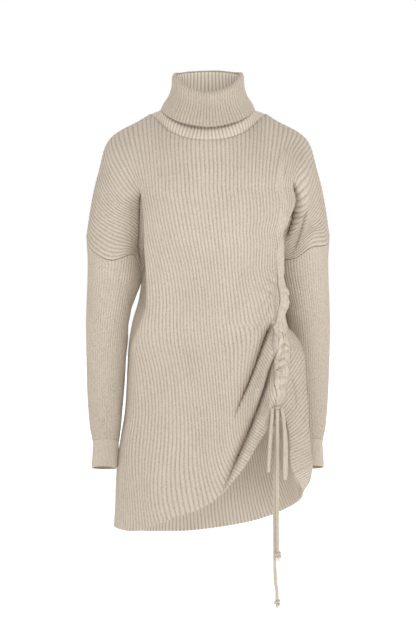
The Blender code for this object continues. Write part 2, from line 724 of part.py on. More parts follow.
# Each seam's points get one normal for both pieces: across the seam times along it.
def seam_normal(points, into_a, into_b, hint):
    run = np.gradient(points, axis=0)
    n = unit(np.cross(run, unit(into_a) - unit(into_b)))
    return np.where((np.sum(n * hint, -1) < 0)[:, None], -n, n)


def draw_back(points, into):
    return points + unit(into) * SEAM


fn, bn = nf.copy(), nb.copy()
Fs, Bs = F.copy(), B.copy()
# side seams
for i, k in ((0, 1), (-1, -2)):
    into_f, into_b = F[k, yoke_count:] - F[i, yoke_count:], B[k, yoke_count:] - B[i, yoke_count:]
    hint = nf[i, yoke_count:] + nb[i, yoke_count:]
    hint[0] = (0, 0, -1)
    n = seam_normal(F[i, yoke_count:], into_f, into_b, hint)
    fn[i, yoke_count:] = bn[i, yoke_count:] = n
    Fs[i, yoke_count:] += unit(into_f) * SEAM
    Bs[i, yoke_count:] += unit(into_b) * SEAM
# shoulder seams
ribs_f, ribs_b = cols_f - RIBS, cols_b - RIBS
for side in (-1, 1):
    at_f = [i for i, r in enumerate(ribs_f) if side * r >= NECK_RIB]
    at_b = [i for i, r in enumerate(ribs_b) if side * r >= NECK_RIB]
    # Both panels take the front's points on the seam, and the back's own ribs.
    n_f = unit(nf[at_f, 0] + np.array([0, 0.6, 0.6]))
    n_f[:, 1] = 0
    n_f = unit(n_f)
    fn[at_f, 0] = n_f
    for i in at_b:
        j = int(np.argmin(np.abs(ribs_f - ribs_b[i])))
        bn[i, 0] = unit(np.array([np.interp(ribs_b[i], ribs_f[at_f], n_f[:, k]) for k in range(3)]))
    Fs[at_f, 0] += np.array([0, -SEAM, 0])
    Bs[at_b, 0] += np.array([0, SEAM, 0])
# armholes, sleeves and cuffs
for side, word in ((-1, "right"), (1, "left")):  # the wearer's own right and left
    i, k = (0, 1) if side < 0 else (-1, -2)
    ring = np.concatenate([F[i, : yoke_count + 1], B[i, 1:yoke_count][::-1]])
    into = np.concatenate(
        [(F[k] - F[i])[: yoke_count + 1], (B[k] - B[i])[1:yoke_count][::-1]]
    )
    grid = sleeve_grid(ring, side, 11)
    n = normals(grid, True) * -side
    hole = seam_normal(
        np.concatenate([ring[-1:], ring, ring[:1]]),
        np.concatenate([into[-1:], into, into[:1]]),
        np.concatenate([grid[-1:, 1], grid[:, 1], grid[:1, 1]])
        - np.concatenate([ring[-1:], ring, ring[:1]]),
        np.concatenate([n[-1:, 1], n[:, 1], n[:1, 1]]),
    )[1:-1]
    hole[0] = unit(np.array([side, 0, 0.25]))
    hole[yoke_count] = (0, 0, -1)
    n[:, 0] = hole
    fn[i, : yoke_count + 1] = hole[: yoke_count + 1]
    bn[i, 1:yoke_count] = hole[: yoke_count : -1]
    bn[i, 0], bn[i, yoke_count] = hole[0], hole[yoke_count]
    Fs[i, : yoke_count + 1] += unit((F[k] - F[i])[: yoke_count + 1]) * SEAM
    Bs[i, : yoke_count + 1] += unit((B[k] - B[i])[: yoke_count + 1]) * SEAM
    grid[:, 0] += unit(grid[:, 1] - grid[:, 0]) * SEAM
    grid[:, -1] += unit(grid[:, -2] - grid[:, -1]) * SEAM
    cuff = cuff_grid(16, side, 4)
    cn = normals(cuff, True) * -side
    n[:, -1] = cn[:, 0]
    cuff[:, 0] += unit(cuff[:, 1] - cuff[:, 0]) * SEAM
    wall(f"sleeve_{word}", grid, n, True, 2.4)
    wall(f"cuff_{word}", cuff, cn, True, 2.4)

# collar
neck_f = [i for i, r in enumerate(ribs_f) if abs(r) <= NECK_RIB]
neck_b = [i for i, r in enumerate(ribs_b) if abs(r) < NECK_RIB][::-1]
base = np.concatenate([F[neck_f, 0], B[neck_b, 0]])
into = np.concatenate([(F[:, 1] - F[:, 0])[neck_f], (B[:, 1] - B[:, 0])[neck_b]])
collar = collar_grid(base, 17)
cn = -normals(collar, True)
wrap = lambda a: np.concatenate([a[-1:], a, a[:1]])
neck = seam_normal(
    wrap(base), wrap(into), wrap(collar[:, 1] - base), wrap(cn[:, 0] * 0 + (0, 0, 1))
)[1:-1]
count = len(neck_f)
for at in (0, count - 1):
    neck[at] = unit(np.array([1.5 * np.sign(base[at, 0]), 0.1, 1]))
cn[:, 0] = neck
fn[neck_f, 0] = neck[:count]
bn[neck_b, 0] = neck[count:]
for at, here in ((0, neck_f[0]), (count - 1, neck_f[-1])):
    fn[here, 0] = neck[at]
    there = int(np.argmin(np.abs(ribs_b - ribs_f[here])))
    bn[there, 0] = neck[at]
Fs[neck_f, 0] += unit(into[:count]) * SEAM
Bs[neck_b, 0] += unit(into[count:]) * SEAM
collar[:, 0] += unit(collar[:, 1] - collar[:, 0]) * SEAM
wall("turtleneck_collar", collar, cn, True, 2.6)

wall("front_panel", Fs, fn)
wall("back_panel", Bs, bn)

# drawstring casing
heights = [-86, -98, -112, -128, -144, -160, -175, -190, -205, -220, -236, -250, -263, -280, -298,
           -314, -330, -346, -358, -370, -381, -392, -404, -416, -428, -442, -456, -470, -486, -500,
           -513, -525]
near = [i for i, r in enumerate(ribs_f) if 9 <= r <= 36]
rings = casing_rings(Fs[near], ribs_f[near], CASING_RIB, heights, 2.4)
loft("drawstring_casing", rings)

# drawstring: the bow's knot at the foot of the casing, its loops and its ends
CORD, KNOT_STEP = 5.8, 4.5
TIE = np.array([119.0, -110.3, -530.2])  # where the bow is tied
turn = np.linspace(0, 2 * np.pi, 11)[:-1]
loft("bow_knot", [
    [TIE + (x, r * np.cos(a), 0.9 * r * np.sin(a)) for a in turn]
    for x, r in ((-5.6, 1.6), (-4.6, 3.1), (-2.4, 3.9), (0, 4.1), (2.4, 3.9), (4.6, 3.1), (5.6, 1.6))
])
cord("bow_loop_right", [
    (110.9, -112.2, -531.5), (110, -114.6, -545), (108.6, -116.8, -562), (106.6, -119.5, -585),
    (105, -121.5, -611), (104.5, -118, -630), (104.5, -109, -638), (105, -100, -631),
    (106.5, -97.5, -611), (108.8, -98, -588), (111, -99, -573), (113.5, -101.5, -562)], 13)
cord("bow_loop_left", [
    (126.8, -110.8, -532), (129.5, -113.5, -545), (131, -117.5, -560), (131.6, -123, -590),
    (131.5, -125.5, -622), (131.7, -122, -642), (133, -113, -650.5), (134.5, -105, -643),
    (135.2, -103.5, -622), (134.6, -104, -590), (131.4, -106.5, -562), (126, -108, -547)], 13)
cord("cord_end_short", [
    (119.3, -115.2, -534.5), (119.4, -115, -560), (119.4, -114.6, -620), (119.4, -111.5, -680),
    (119.4, -110.5, -720), (119.8, -110.5, -762), (120.3, -110.5, -776), (121, -110.5, -790)],
    15, (1.5, 1.75, 1.3))
cord("cord_end_long", [
    (118.6, -109.2, -535.3), (118.4, -108.8, -570), (117.6, -107.6, -610), (115.2, -104.3, -650),
    (114.8, -104.3, -720), (115.3, -104.3, -800), (116.5, -104.3, -830), (119, -104.3, -850),
    (119, -104.3, -873)], 15, (1.1, 1.85, 0.9))
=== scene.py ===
"""Turtleneck tunic in oatmeal rib knit, in the form it keeps when worn.

Tables are in millimetres and become metres when a mesh is made. X is the
wearer's left, -Y the front, Z up; the origin is where the shoulders hold it.
"""

import bpy
import mathutils
import numpy as np
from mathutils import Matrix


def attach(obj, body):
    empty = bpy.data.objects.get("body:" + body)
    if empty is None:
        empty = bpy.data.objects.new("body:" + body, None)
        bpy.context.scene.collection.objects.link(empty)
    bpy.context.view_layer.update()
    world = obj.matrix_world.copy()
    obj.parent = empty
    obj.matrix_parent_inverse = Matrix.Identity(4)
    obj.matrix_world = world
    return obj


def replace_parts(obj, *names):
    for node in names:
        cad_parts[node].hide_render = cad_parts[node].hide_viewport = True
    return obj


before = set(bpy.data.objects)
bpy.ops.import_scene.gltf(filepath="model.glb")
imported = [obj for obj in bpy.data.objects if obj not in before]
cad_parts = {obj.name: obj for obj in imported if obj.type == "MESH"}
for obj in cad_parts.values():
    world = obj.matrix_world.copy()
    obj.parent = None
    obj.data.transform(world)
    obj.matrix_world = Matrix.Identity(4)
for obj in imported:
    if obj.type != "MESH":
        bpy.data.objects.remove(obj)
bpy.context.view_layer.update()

# ---------------------------------------------------------------- camera
# A level camera at chest-to-hem height, far enough back that the garment is
# seen almost without perspective.
eye = bpy.data.objects.new("eye", bpy.data.cameras.new("eye"))
bpy.context.scene.collection.objects.link(eye)
bpy.context.scene.camera = eye
eye.data.lens, eye.data.sensor_width, eye.data.clip_end = 107.6, 36, 60
eye.location = (0, -3.3, -0.361)
eye.rotation_euler = (np.pi / 2, 0, 0)

# ------------------------------------------------------------- drawstring
# One soft cord of plain tubular knit, about 6 mm thick. It comes out of the foot
# of the casing, is tied there in a bow with two hanging loops, and its two ends
# hang free, each stopped with an overhand knot and a little frayed yarn.
MM = 0.001
CORD = 5.8
CORD_WALES = 8  # columns of stitches round the cord
CORD_COURSE = 3.1  # height of one stitch
TIE = np.array([119.0, -110.3, -530.2])  # the middle of the bow's knot
STRAND_POINTS = 130
KNOT_TAKES = 6  # the last stretch of a free end's route, which is inside its knot
YARNS = 7  # frayed out below each knot
CORDS = {  # the route of each strand
    "bow_loop_right": [
        (110.9, -112.2, -531.5), (110, -114.6, -545), (108.6, -116.8, -562), (106.6, -119.5, -585),
        (105, -121.5, -611), (104.5, -118, -630), (104.5, -109, -638), (105, -100, -631),
        (106.5, -97.5, -611), (108.8, -98, -588), (111, -99, -573), (113.5, -101.5, -562)],
    "bow_loop_left": [
        (126.8, -110.8, -532), (129.5, -113.5, -545), (131, -117.5, -560), (131.6, -123, -590),
        (131.5, -125.5, -622), (131.7, -122, -642), (133, -113, -650.5), (134.5, -105, -643),
        (135.2, -103.5, -622), (134.6, -104, -590), (131.4, -106.5, -562), (126, -108, -547)],
    "cord_end_short": [
        (119.3, -115.2, -534.5), (119.4, -115, -560), (119.4, -114.6, -620), (119.4, -111.5, -680),
        (119.4, -110.5, -720), (119.8, -110.5, -762), (120.3, -110.5, -776), (121, -110.5, -790)],
    "cord_end_long": [
        (118.6, -109.2, -535.3), (118.4, -108.8, -570), (117.6, -107.6, -610), (115.2, -104.3, -650),
        (114.8, -104.3, -720), (115.3, -104.3, -800), (116.5, -104.3, -830), (119, -104.3, -850),
        (119, -104.3, -873)],
}


def through(knots, values, at):
    """A smooth curve through rows of values that doesn't swing past them."""
    k, v = np.asarray(knots, float), np.asarray(values, float)
    v = v.reshape(len(k), -1)
    step = np.diff(k)[:, None]
    slope = np.diff(v, axis=0) / step
    m = np.zeros_like(v)
    m[0], m[-1] = slope[0], slope[-1]
    a, b = slope[:-1], slope[1:]
    same = a * b > 0
    m[1:-1] = np.where(same, 2 * a * b / np.where(same, a + b, 1), 0)
    at = np.clip(np.asarray(at, float), k[0], k[-1])
    i = np.clip(np.searchsorted(k, at, side="right") - 1, 0, len(k) - 2)
    h = step[i, 0]
    f = ((at - k[i]) / h)[..., None]
    h = h[..., None]
    return (
        v[i] * (2 * f**3 - 3 * f**2 + 1)
        + v[i + 1] * (3 * f**2 - 2 * f**3)
        + m[i] * h * (f**3 - 2 * f**2 + f)
        + m[i + 1] * h * (f**3 - f**2)
    )


def travelled(points):
    """How far along its row each point lies."""
    return np.insert(np.cumsum(np.linalg.norm(np.diff(points, axis=0), axis=1)), 0, 0)


def along(points, ends, at):
    """Points of a polyline, smoothed; `at` runs by length between the two ends."""
    points = np.asarray(points, float)
    run = travelled(points)
    return through(ends[0] + run / run[-1] * (ends[1] - ends[0]), points, at)


def unit(v):
    return v / np.maximum(np.linalg.norm(v, axis=-1, keepdims=True), 1e-9)


class Wire:
    """A socket of a material that Python's operators work on."""

    def __init__(self, tree, socket=None):
        self.tree, self.socket = tree, socket

    def node(self, kind, settings=None, inputs=None, out=0):
        """Adds a node: its settings first, then the values or links of its sockets."""
        node = self.tree.nodes.new(kind)
        for key, value in (settings or {}).items():
            setattr(node, key, value)
        for key, value in (inputs or {}).items():
            if isinstance(value, Wire):
                self.tree.links.new(value.socket, node.inputs[key])
            else:
                node.inputs[key].default_value = value
        return Wire(self.tree, node.outputs[out])

    def maths(self, operation, *values, clamp=False):
        settings = {"operation": operation, "use_clamp": clamp}
        return self.node("ShaderNodeMath", settings, dict(enumerate((self, *values))))

    def __add__(self, other):
        return self.maths("ADD", other)

    def __mul__(self, other):
        return self.maths("MULTIPLY", other)

    def __sub__(self, other):
        return self.maths("SUBTRACT", other)

    def __rsub__(self, other):
        return self.node("ShaderNodeMath", {"operation": "SUBTRACT"}, {0: other, 1: self})

    def __pow__(self, other):
        return self.maths("POWER", other)

    __radd__, __rmul__ = __add__, __mul__

    def mix(self, first, second):
        """Between two colours by this value."""
        settings = {"data_type": "RGBA", "clamp_factor": True}
        return self.node("ShaderNodeMix", settings, {0: self, 6: first, 7: second}, 2)

    def feed(self, node, name):
        """Wires this to a socket of a node that is already there."""
        self.tree.links.new(self.socket, node.inputs[name])


def knit(name, yarn, painted_hollow_shade, depth, stitch, flecks):
    """Knit in its own stitch coordinates, the map "knit": x counts columns, y courses.

    yarn is the colour on the crown of a column, hollow the painted shade between two;
    depth is how much darker that painted shade makes the hollows, stitch how far
    the Vs stand up and how much their edges are painted in shade, and flecks how
    mottled the yarn is.
    """
    material = bpy.data.materials.new(name)
    material.use_nodes = True
    shader = material.node_tree.nodes["Principled BSDF"]
    start = Wire(material.node_tree)
    place = start.node("ShaderNodeUVMap", {"uv_map": "knit"})
    across, course = (place.node("ShaderNodeSeparateXYZ", None, {0: place}, k) for k in (0, 1))
    where = start.node("ShaderNodeTexCoord", None, None, 3)  # object coordinates

    def noise(size, detail=2.0, rough=0.55):
        inputs = {"Vector": where, "Scale": 1 / size, "Detail": detail, "Roughness": rough}
        return where.node("ShaderNodeTexNoise", None, inputs)

    # how far from the crown of the column: 0 on the crown, 1 in the hollow
    off = (across + noise(0.009) * 0.10 - 0.05).maths("FRACT")
    off = ((off - 0.5) * 2).maths("ABSOLUTE")
    crown = 1 - off * off
    # the two legs of each V, and the line where they meet
    leg = (course + off * 0.45 + noise(0.006) * 0.5).maths("FRACT")
    loop = leg * (1 - leg) * 4
    meet = off.maths("MULTIPLY", 4.0, clamp=True)
    grain = noise(0.0011, 3.0, 0.7)
    height = crown * 0.6 + loop * crown * stitch + meet * 0.12 + grain * 0.16

    # painted shade: the hollows between columns and the edges of each stitch are darker
    tint = crown**0.7 * depth + (1 - depth) + (loop - 0.66) * 0.16 * stitch
    heather, patches = noise(0.0024, 2.0, 0.6), noise(0.045)
    tint = tint + (grain - 0.5) * 0.9 * flecks + (heather - 0.5) * 3.4 * flecks
    tint = (tint + (patches - 0.5) * 0.28).maths("MAXIMUM", 0.0)
    colour = tint.mix((*painted_hollow_shade, 1), (*yarn, 1))
    painted_shading = start.node("ShaderNodeAttribute", {"attribute_name": "painted_shading"}, None, 2)
    colour = painted_shading.mix(colour, (0.17, 0.085, 0.03, 1))  # painted shade: darker at the foot of folds and creases, where little light reaches
    # painted light: paler where the attribute is below 0, on the wrong side seen inside and on the collar's
    # band
    painted_light = crown.mix((0.48, 0.40, 0.315, 1), (0.93, 0.845, 0.73, 1))
    colour = painted_shading.maths("MULTIPLY", -1.0, clamp=True).mix(colour, painted_light)
    bump = {"Strength": 0.8, "Distance": 0.0011, "Height": height}
    colour.feed(shader, "Base Color")
    (0.86 + grain * 0.16).feed(shader, "Roughness")
    height.node("ShaderNodeBump", None, bump).feed(shader, "Normal")
    shader.inputs["Sheen Weight"].default_value = 0.15
    shader.inputs["Sheen Tint"].default_value = (1, 0.86, 0.7, 1)
    shader.inputs["Sheen Roughness"].default_value = 0.6
    shader.inputs["Specular IOR Level"].default_value = 0.2
    return material


def made(name, points, faces, stitch, look, painted_shading=None):
    """A smooth piece in its material.

    stitch: the stitch coordinates of the faces' corners, one after another;
    and last the painted shade of each point, most at the foot of folds and creases,
    with painted light where it is below 0.
    """
    mesh = bpy.data.meshes.new(name)
    mesh.from_pydata(points.reshape(-1, 3) * MM, [], faces)
    mesh.uv_layers.new(name="knit").data.foreach_set("uv", stitch.ravel())
    if painted_shading is not None:
        mesh.attributes.new("painted_shading", "FLOAT", "POINT").data.foreach_set("value", painted_shading.ravel())
    mesh.polygons.foreach_set("use_smooth", np.ones(len(faces), bool))
    mesh.update()
    mesh.materials.append(look)
    piece = bpy.data.objects.new(name, mesh)
    bpy.context.scene.collection.objects.link(piece)
    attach(piece, "root")
    return piece


def pipe(name, rings, wales, courses, look, painted_shading=None, flip=False):
    """A pipe with closed ends, from points that run round it and then along it.

    wales: the stitch columns round it; courses: the course of each ring.
    """
    n, m = rings.shape[:2]
    i, j = (a.ravel() for a in np.meshgrid(np.arange(n), np.arange(m - 1), indexing="ij"))
    four = ((0, 0), (0, 1), (1, 1), (1, 0)) if flip else ((0, 0), (1, 0), (1, 1), (0, 1))
    corners = np.stack([np.stack([i + a, j + b], -1) for a, b in four], 1)
    ends = [np.arange(n)[::-1] * m, np.arange(n) * m + m - 1]
    faces = (corners[..., 0] % n * m + corners[..., 1]).tolist()
    faces += [(end[::-1] if flip else end).tolist() for end in ends]
    stitch = np.stack([corners[..., 0] * wales / n, courses[corners[..., 1]]], -1).reshape(-1, 2)
    return made(name, rings, faces, np.concatenate([stitch, np.zeros((2 * n, 2))]), look, painted_shading)


def cord(name, centre, radius, wales, course, sides=24):
    """A solid round cord along a line of points, with domed ends."""
    tangent = unit(np.gradient(centre, axis=0))
    side = np.array([1.0, 0, 0])
    turn = np.arange(sides) / sides * 2 * np.pi
    rings = []
    for p, t, r in zip(centre, tangent, radius):
        side = unit(side - t * (side @ t))
        bulge = r * (1 - 0.05 * np.cos(wales * turn))[:, None]
        rings.append(p + bulge * (np.cos(turn)[:, None] * side + np.sin(turn)[:, None] * np.cross(t, side)))
    rings = np.array(rings).transpose(1, 0, 2)  # round, then along
    shape = ((0.35, 0.93), (0.62, 0.72), (0.78, 0.38), (0.82, 0.06))  # height and width of a dome's rings

    def dome(end, way):
        middle, tip = rings[:, end].mean(0), way * radius[end] * tangent[end]
        return np.stack([middle + tip * rise + (rings[:, end] - middle) * size for rise, size in shape], 1)

    rings = np.concatenate([dome(0, -1)[:, ::-1], rings, dome(-1, 1)], axis=1)
    courses = np.pad(travelled(centre), len(shape), "edge") / course
    return pipe(name, rings, wales, courses, cord_knit)


cord_knit = knit("cord_knit", yarn=(0.70, 0.62, 0.51), painted_hollow_shade=(0.44, 0.36, 0.28),
                 depth=0.5, stitch=0.6, flecks=0.5)
for name, route in CORDS.items():
    free = "end" in name  # a free end, and not a loop of the bow
    fine = along(route, (0, 1), np.linspace(0, 1, 400))
    run = travelled(fine)
    length = run[-1] - (KNOT_TAKES if free else 0)
    at = np.linspace(0, 1, STRAND_POINTS)
    centre = np.stack([np.interp(at * length, run, fine[:, k]) for k in range(3)], -1)
    lumps = 0.5 * CORD * (1 + 0.03 * np.sin(at * 37) + 0.02 * np.sin(at * 91 + 1))
    strand = cord(name, centre, lumps, CORD_WALES, CORD_COURSE)
    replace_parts(strand, name)
    if free:  # an overhand knot: nearly one and a half turns of the cord round itself
        foot, axis = centre[-1], unit(centre[-1] - centre[-6])
        sideways = unit(np.cross(axis, (0.3, 1, 0.1)))
        forward = np.cross(axis, sideways)
        turns = np.linspace(-0.25, 1.2, 40)
        angle = turns * 2 * np.pi
        wrap = np.outer(np.cos(angle), sideways) + np.outer(np.sin(angle), forward)
        wrap = foot + np.outer((turns - 0.75) * 5.5, axis) + 2.9 * wrap
        size = 0.44 * CORD * np.clip(np.minimum(turns + 0.40, 1.45 - turns) * 6, 0.5, 1)
        knot = cord(name + "_knot", wrap, size, CORD_WALES, CORD_COURSE, 16)
        rng = np.random.default_rng(len(name))
        share = np.linspace(0, 1, 8)[:, None]
        for k in range(YARNS):
            way = unit(axis + rng.normal(0, 0.38, 3))
            root = foot + axis * 3 + rng.normal(0, 0.8, 3)
            line = root + share * way * rng.uniform(4, 7) + share**2 * (0, 0, -1.2)
            cord(f"{name}_yarn_{k}", line, np.linspace(0.42, 0.2, 8), 2, 1.0, 6)
    float(length * MM)

# the turn of cord that ties the bow
t = np.linspace(-1, 1, 30)
line = TIE + np.stack([3.5 * t, 1.6 * t * t - 0.8, 1.6 * t], -1)
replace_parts(cord("bow_knot", line, 3.0 - 0.8 * t * t, CORD_WALES, CORD_COURSE), "bow_knot")

# --------------------------------------------------- front and back panels
# Two panels of chunky rib, knitted from the top down and joined over the
# shoulders and at the sides. The shoulders drop, so each panel wraps the upper
# arm; the casing draws the front up on the wearer's left.
RIBS = 42  # ribs from the centre line to a side seam
NECK_RIB = 14  # ribs from the centre line to the corner of the neckline
CASING_RIB = 21  # the casing runs down this rib on the wearer's left
YOKE_ROWS, BODY_ROWS = 24, 60
HEM_ROW = YOKE_ROWS + BODY_ROWS
UNDERARM_Z = -303.0
WALL = 2.4  # thickness of the panels between their ribs
# Torso sections. z: height. Each side has its fold edge (lip: rib, x, y), how far
# the wall behind it is tucked in, and its side seam. Above the underarm the side
# columns only steer the wall inside the armpit crease.
SIDE = {
    -1: (  # z, lip_rib, lip_x, lip_y, tuck_x, seam_x, seam_y
        (-770, 30, 152, -52, 164, 167, 5),
        (-720, 30, 154, -54, 165, 168, 5),
        (-660, 30, 152, -54, 162, 166, 6),
        (-600, 29, 143, -53, 153, 155.5, 6),
        (-540, 29, 134, -50, 143, 146, 6),
        (-480, 28, 131, -48, 139.5, 143, 6),
        (-425, 26, 130, -46, 136, 140.5, 6),
        (-385, 24, 119, -58, 120, 135, 6),
        (-345, 23, 108, -66, 106, 123, 6),
        (-312, 23, 110, -68, 102, 118, 7),
        (-250, 22, 114, -67, 103, 116, 20),
        (-200, 21, 115, -64, 104, 116, 32),
        (-157, 20, 118, -58, 108, 116, 44),
    ),
    1: (
        (-770, 23.5, 137, -100, 160, 168, -2),
        (-600, 23.5, 137, -100, 148, 150, 4),
        (-540, 23.5, 137, -97, 144, 146, 6),
        (-480, 23.5, 136, -92, 138, 140, 6),
        (-430, 23.5, 135, -86, 130, 136, 6),
        (-385, 23.5, 134, -84, 121, 131, 6),
        (-367, 23.5, 132, -84, 116, 128, 6),
        (-343, 24.5, 138, -84, 112, 122, 6),
        (-312, 24, 132, -81, 108, 118, 7),
        (-278, 24.5, 134, -79, 108, 116, 12),
        (-243, 24.5, 134, -78, 108, 116, 20),
        (-228, 25, 131, -77, 110, 116, 24),
        (-214, 26, 141, -76, 114, 116, 28),
        (-183, 27.5, 153, -73, 124, 118, 34),
        (-150, 27, 148, -66, 138, 124, 40),
    ),
}
# Centre line of the front and the back: depth, how much the ribs spread at the
# centre, and how far rib 0 has been pulled to the casing's side.
CENTRE = (  # z, front_y, back_y, spread, pull
    (-770, -126, 112, 0.00, 54),
    (-680, -124, 110, 0.00, 50),
    (-600, -120, 108, 0.00, 44),
    (-500, -112, 102, 0.00, 34),
    (-400, -102, 92, 0.02, 25),
    (-300, -105, 88, 0.08, 18),
    (-200, -112, 94, 0.24, 8),
    (-150, -107, 97, 0.25, 3),
)
# Where the armpit crease starts: rib and height; and how evenly the ribs end in it.
CREASE = {-1: (20, -157.0, 1.0), 1: (27, -150.0, 0.55)}
BACK_CREASE = (20, -157.0, 1.0)
# Shoulder seam, from the neckline's corner over the shoulder and down the arm.
SHOULDER = (  # x, y, z
    (101, 2, -9),
    (112, 2, -17.5),
    (123, 2, -25),
    (149, 2, -37),
    (166, 2, -47),
    (176, 2, -55),
    (182.5, 1, -67),
    (187, 1, -82),
    (191, 0, -103),
    (200, 0, -134),
    (206, 0, -163),
    (211, 0, -194),
    (216, 0, -229),
)
NECKLINE = (  # rib, x, front_y, front_z, back_y, back_z
    (0, 0, -84, -66, 72, -3),
    (3.5, 25.5, -80, -64, 70, -4),
    (7, 49.5, -67, -57, 61, -6),
    (10.5, 76, -42, -42, 42, -7),
    (14, 101, 2, -9, 2, -9),
)
# Handles of a guide rib from the top seam to the crease: out, forward, up.
YOKE = (  # rib, from the seam (3), from the crease (3)
    (0, 0, -11, -32, 0, 6, 32),
    (7, 2, -18, -28, 0, 5, 34),
    (14, 3, -40, -16, 0, 0, 48),
    (20, 0, -54, -32, 4, -6, 40),
    (27, -6, -62, -56, 30, -16, 6),
    (34, -8, -62, -50, 28, -30, 30),
    (42, -6, -62, -62, 14, -72, 80),
)
FRONT_HEM = (  # left side seam to the casing
    (-166, 5, -744),
    (-161, -45, -743),
    (-138, -82, -745),
    (-114, -98, -742),
    (-89, -108, -730),
    (-44, -117, -713),
    (-13, -120, -703),
    (20, -120, -681),
    (44, -118, -655),
    (70, -115, -619),
    (87, -112, -588),
    (107, -108, -560),
    (121, -103, -538),
)
HEM_END = 20  # the rib beside the casing, where this hem ends
HEM_DRAW = ((-RIBS, -20, 0, 10, HEM_END), (0, 2, 5.5, 4.5, 0))  # ribs it is drawn to the casing
# The flap right of the casing: its hem and the handles that swing its ribs out
# past the hip and back in to the hem.
FLAP_TOP = -385.0  # where its ribs leave the torso
FLAP = (  # rib, hem (3), from the waist (3), from the hem (3)
    (23, 130, -99, -537, 2, -6, -50, 0, 0, 50),
    (28.5, 139, -97, -569, 48, -14, -30, 52, 2, 40),
    (33, 141, -95, -594, 20, -14, -80, 80, 8, 10),
    (39, 142, -91, -629, 6, -8, -160, 92, 18, 0),
    (42, 148, -84, -645, 6, -12, -170, 87, 20, 8),
)
# Guide ribs at the right side, where the hem is drawn forward past the cuff:
# the side seam first, then ribs of the back.
TAIL = (  # rib, upper (3), middle (3), outermost (3), hem (3)
    (42, 141, 2, -500, 151, -26, -578, 184, -63, -623, 148, -84, -645),
    (39, 145, 8, -520, 151, -32, -606, 184, -55, -642, 157, -68, -658),
    (36, 147, 15, -540, 155, -12, -650, 181, -36, -664, 165, -44, -672),
    (32, 149, 30, -560, 153, 12, -652, 168, 0, -680, 168, -8, -690),
    (27, 142, 58, -560, 152, 46, -645, 160, 38, -685, 161, 32, -703),
)
BACK_HEM = (  # left side seam to right side seam
    (-166, 5, -744),
    (-155, 52, -756),
    (-113, 88, -765),
    (-46, 106, -767),
    (0, 108, -763),
    (89, 99, -746),
    (130, 84, -729),
    (153, 58, -714),
    (166, 20, -699),
    (168, -8, -688),
    (165, -42, -673),
    (158, -66, -659),
    (148, -84, -645),
)
NUDGES = (  # how the ribs over the armpits swing: x, z, along x, along z, reach
    (-170, -262, 0, -15, 27),
    (-122, -288, 0, 26, 22),
    (-130, -206, 0, 12, 30),
    (186, -244, 0, 16, 20),
    (152, -262, 0, -10, 20),
    (142, -430, 13, 0, 30),
    (166, -88, -10, 0, 24),
    (150, -160, 8, 0, 24),
)
RIB_HEIGHT = 0.72  # from the middle of the cloth to a crown, each way
CREASES = (  # front view x and z of four points, depth, half width (and the first rib)
    (110, -388, 96, -423, 73, -482, 43, -547, 26, 7),
    (113, -449, 103, -487, 74, -566, 22, -679, 28, 7),
    (171, -186, 166, -212, 158, -240, 148, -266, 8, 6),
    (151, -142, 158, -172, 155, -192, 149, -208, 11, 5, 24.5),
    (157, -192, 151, -208, 144, -222, 135, -241, 26, 10, 24.5),
    (-119.5, -158, -120, -205, -119.5, -250, -118.5, -292, 14, 13, -20.5),
    (112, -322, 104, -338, 94, -352, 80, -366, 2.2, 5),
    (112, -345, 102, -366, 88, -388, 70, -410, 2.5, 6),
    (-122, -330, -112, -350, -98, -366, -80, -376, 1.5, 8),
    (146, -478, 150, -495, 153, -515, 152, -536, 4, 6),
)
SWELLS = (  # the swollen cloth beside them
    (121, -402, 107, -442, 90, -490, 70, -536, 12, 8),
    (122, -462, 112, -506, 90, -560, 42, -654, 8, 8),
    (162, -86, 170, -150, 168, -200, 155, -238, 8, 9),
    (116, -300, 108, -318, 98, -332, 84, -346, 1.6, 7),
    (126, -330, 128, -352, 128, -372, 128, -392, 2, 8),
)
BACK_CREASES = (  # the same kinds of fold on the side that faces away
    (-146, -150, -132, -196, -120, -230, -104, -262, 5, 8),
    (144, -150, 134, -190, 120, -236, 104, -276, 6, 8),
    (140, -380, 104, -430, 62, -476, 14, -508, 3.5, 10),
    (146, -470, 112, -530, 70, -580, 20, -612, 3.5, 11),
    (-136, -420, -96, -452, -52, -476, -8, -490, 2.5, 11),
    (-40, -30, -20, -60, 4, -78, 30, -88, 2, 9),
)
BACK_SWELLS = (
    (142, -410, 110, -462, 68, -508, 20, -540, 3, 12),
    (-140, -190, -122, -240, -100, -280, -76, -304, 2.5, 12),
)
PUCKERS = (  # short creases that run into the casing from both sides: x, z, x, z, depth
    (116, -298, 102, -288, 1.3), (115, -318, 97, -303, 1.6), (114, -336, 94, -322, 1.8),
    (116, -356, 100, -346, 1.6), (115, -378, 101, -372, 1.7), (112, -403, 104, -398, 1.5),
    (136, -322, 146, -312, 1.2), (135, -343, 144, -336, 1.5), (133, -366, 142, -366, 1.7),
    (137, -392, 148, -398, 1.5), (142, -418, 152, -428, 1.4), (140, -452, 152, -464, 1.4),
    (138, -486, 150, -500, 1.3),
)
FAN = (  # right of the casing: height, ribs per mm to the right and downwards
    (-720, 0.11, 0.15), (-647, 0.10, 0.16), (-604, 0.07, 0.175), (-544, 0.14, 0.125),
    (-432, 0.165, 0.095), (-380, 0.18, 0.06),
)


def read(table, at):
    """A table's other columns where its first one is `at`."""
    return through([row[0] for row in table], [row[1:] for row in table], at)


def bezier(p0, p1, p2, p3, f):
    """Cubic arcs for a row of end points and handles, sampled at f."""
    f = np.asarray(f)[None, :, None]
    p0, p1, p2, p3 = (p[:, None, :] for p in (p0, p1, p2, p3))
    return p0 * (1 - f) ** 3 + 3 * p1 * f * (1 - f) ** 2 + 3 * p2 * f**2 * (1 - f) + p3 * f**3


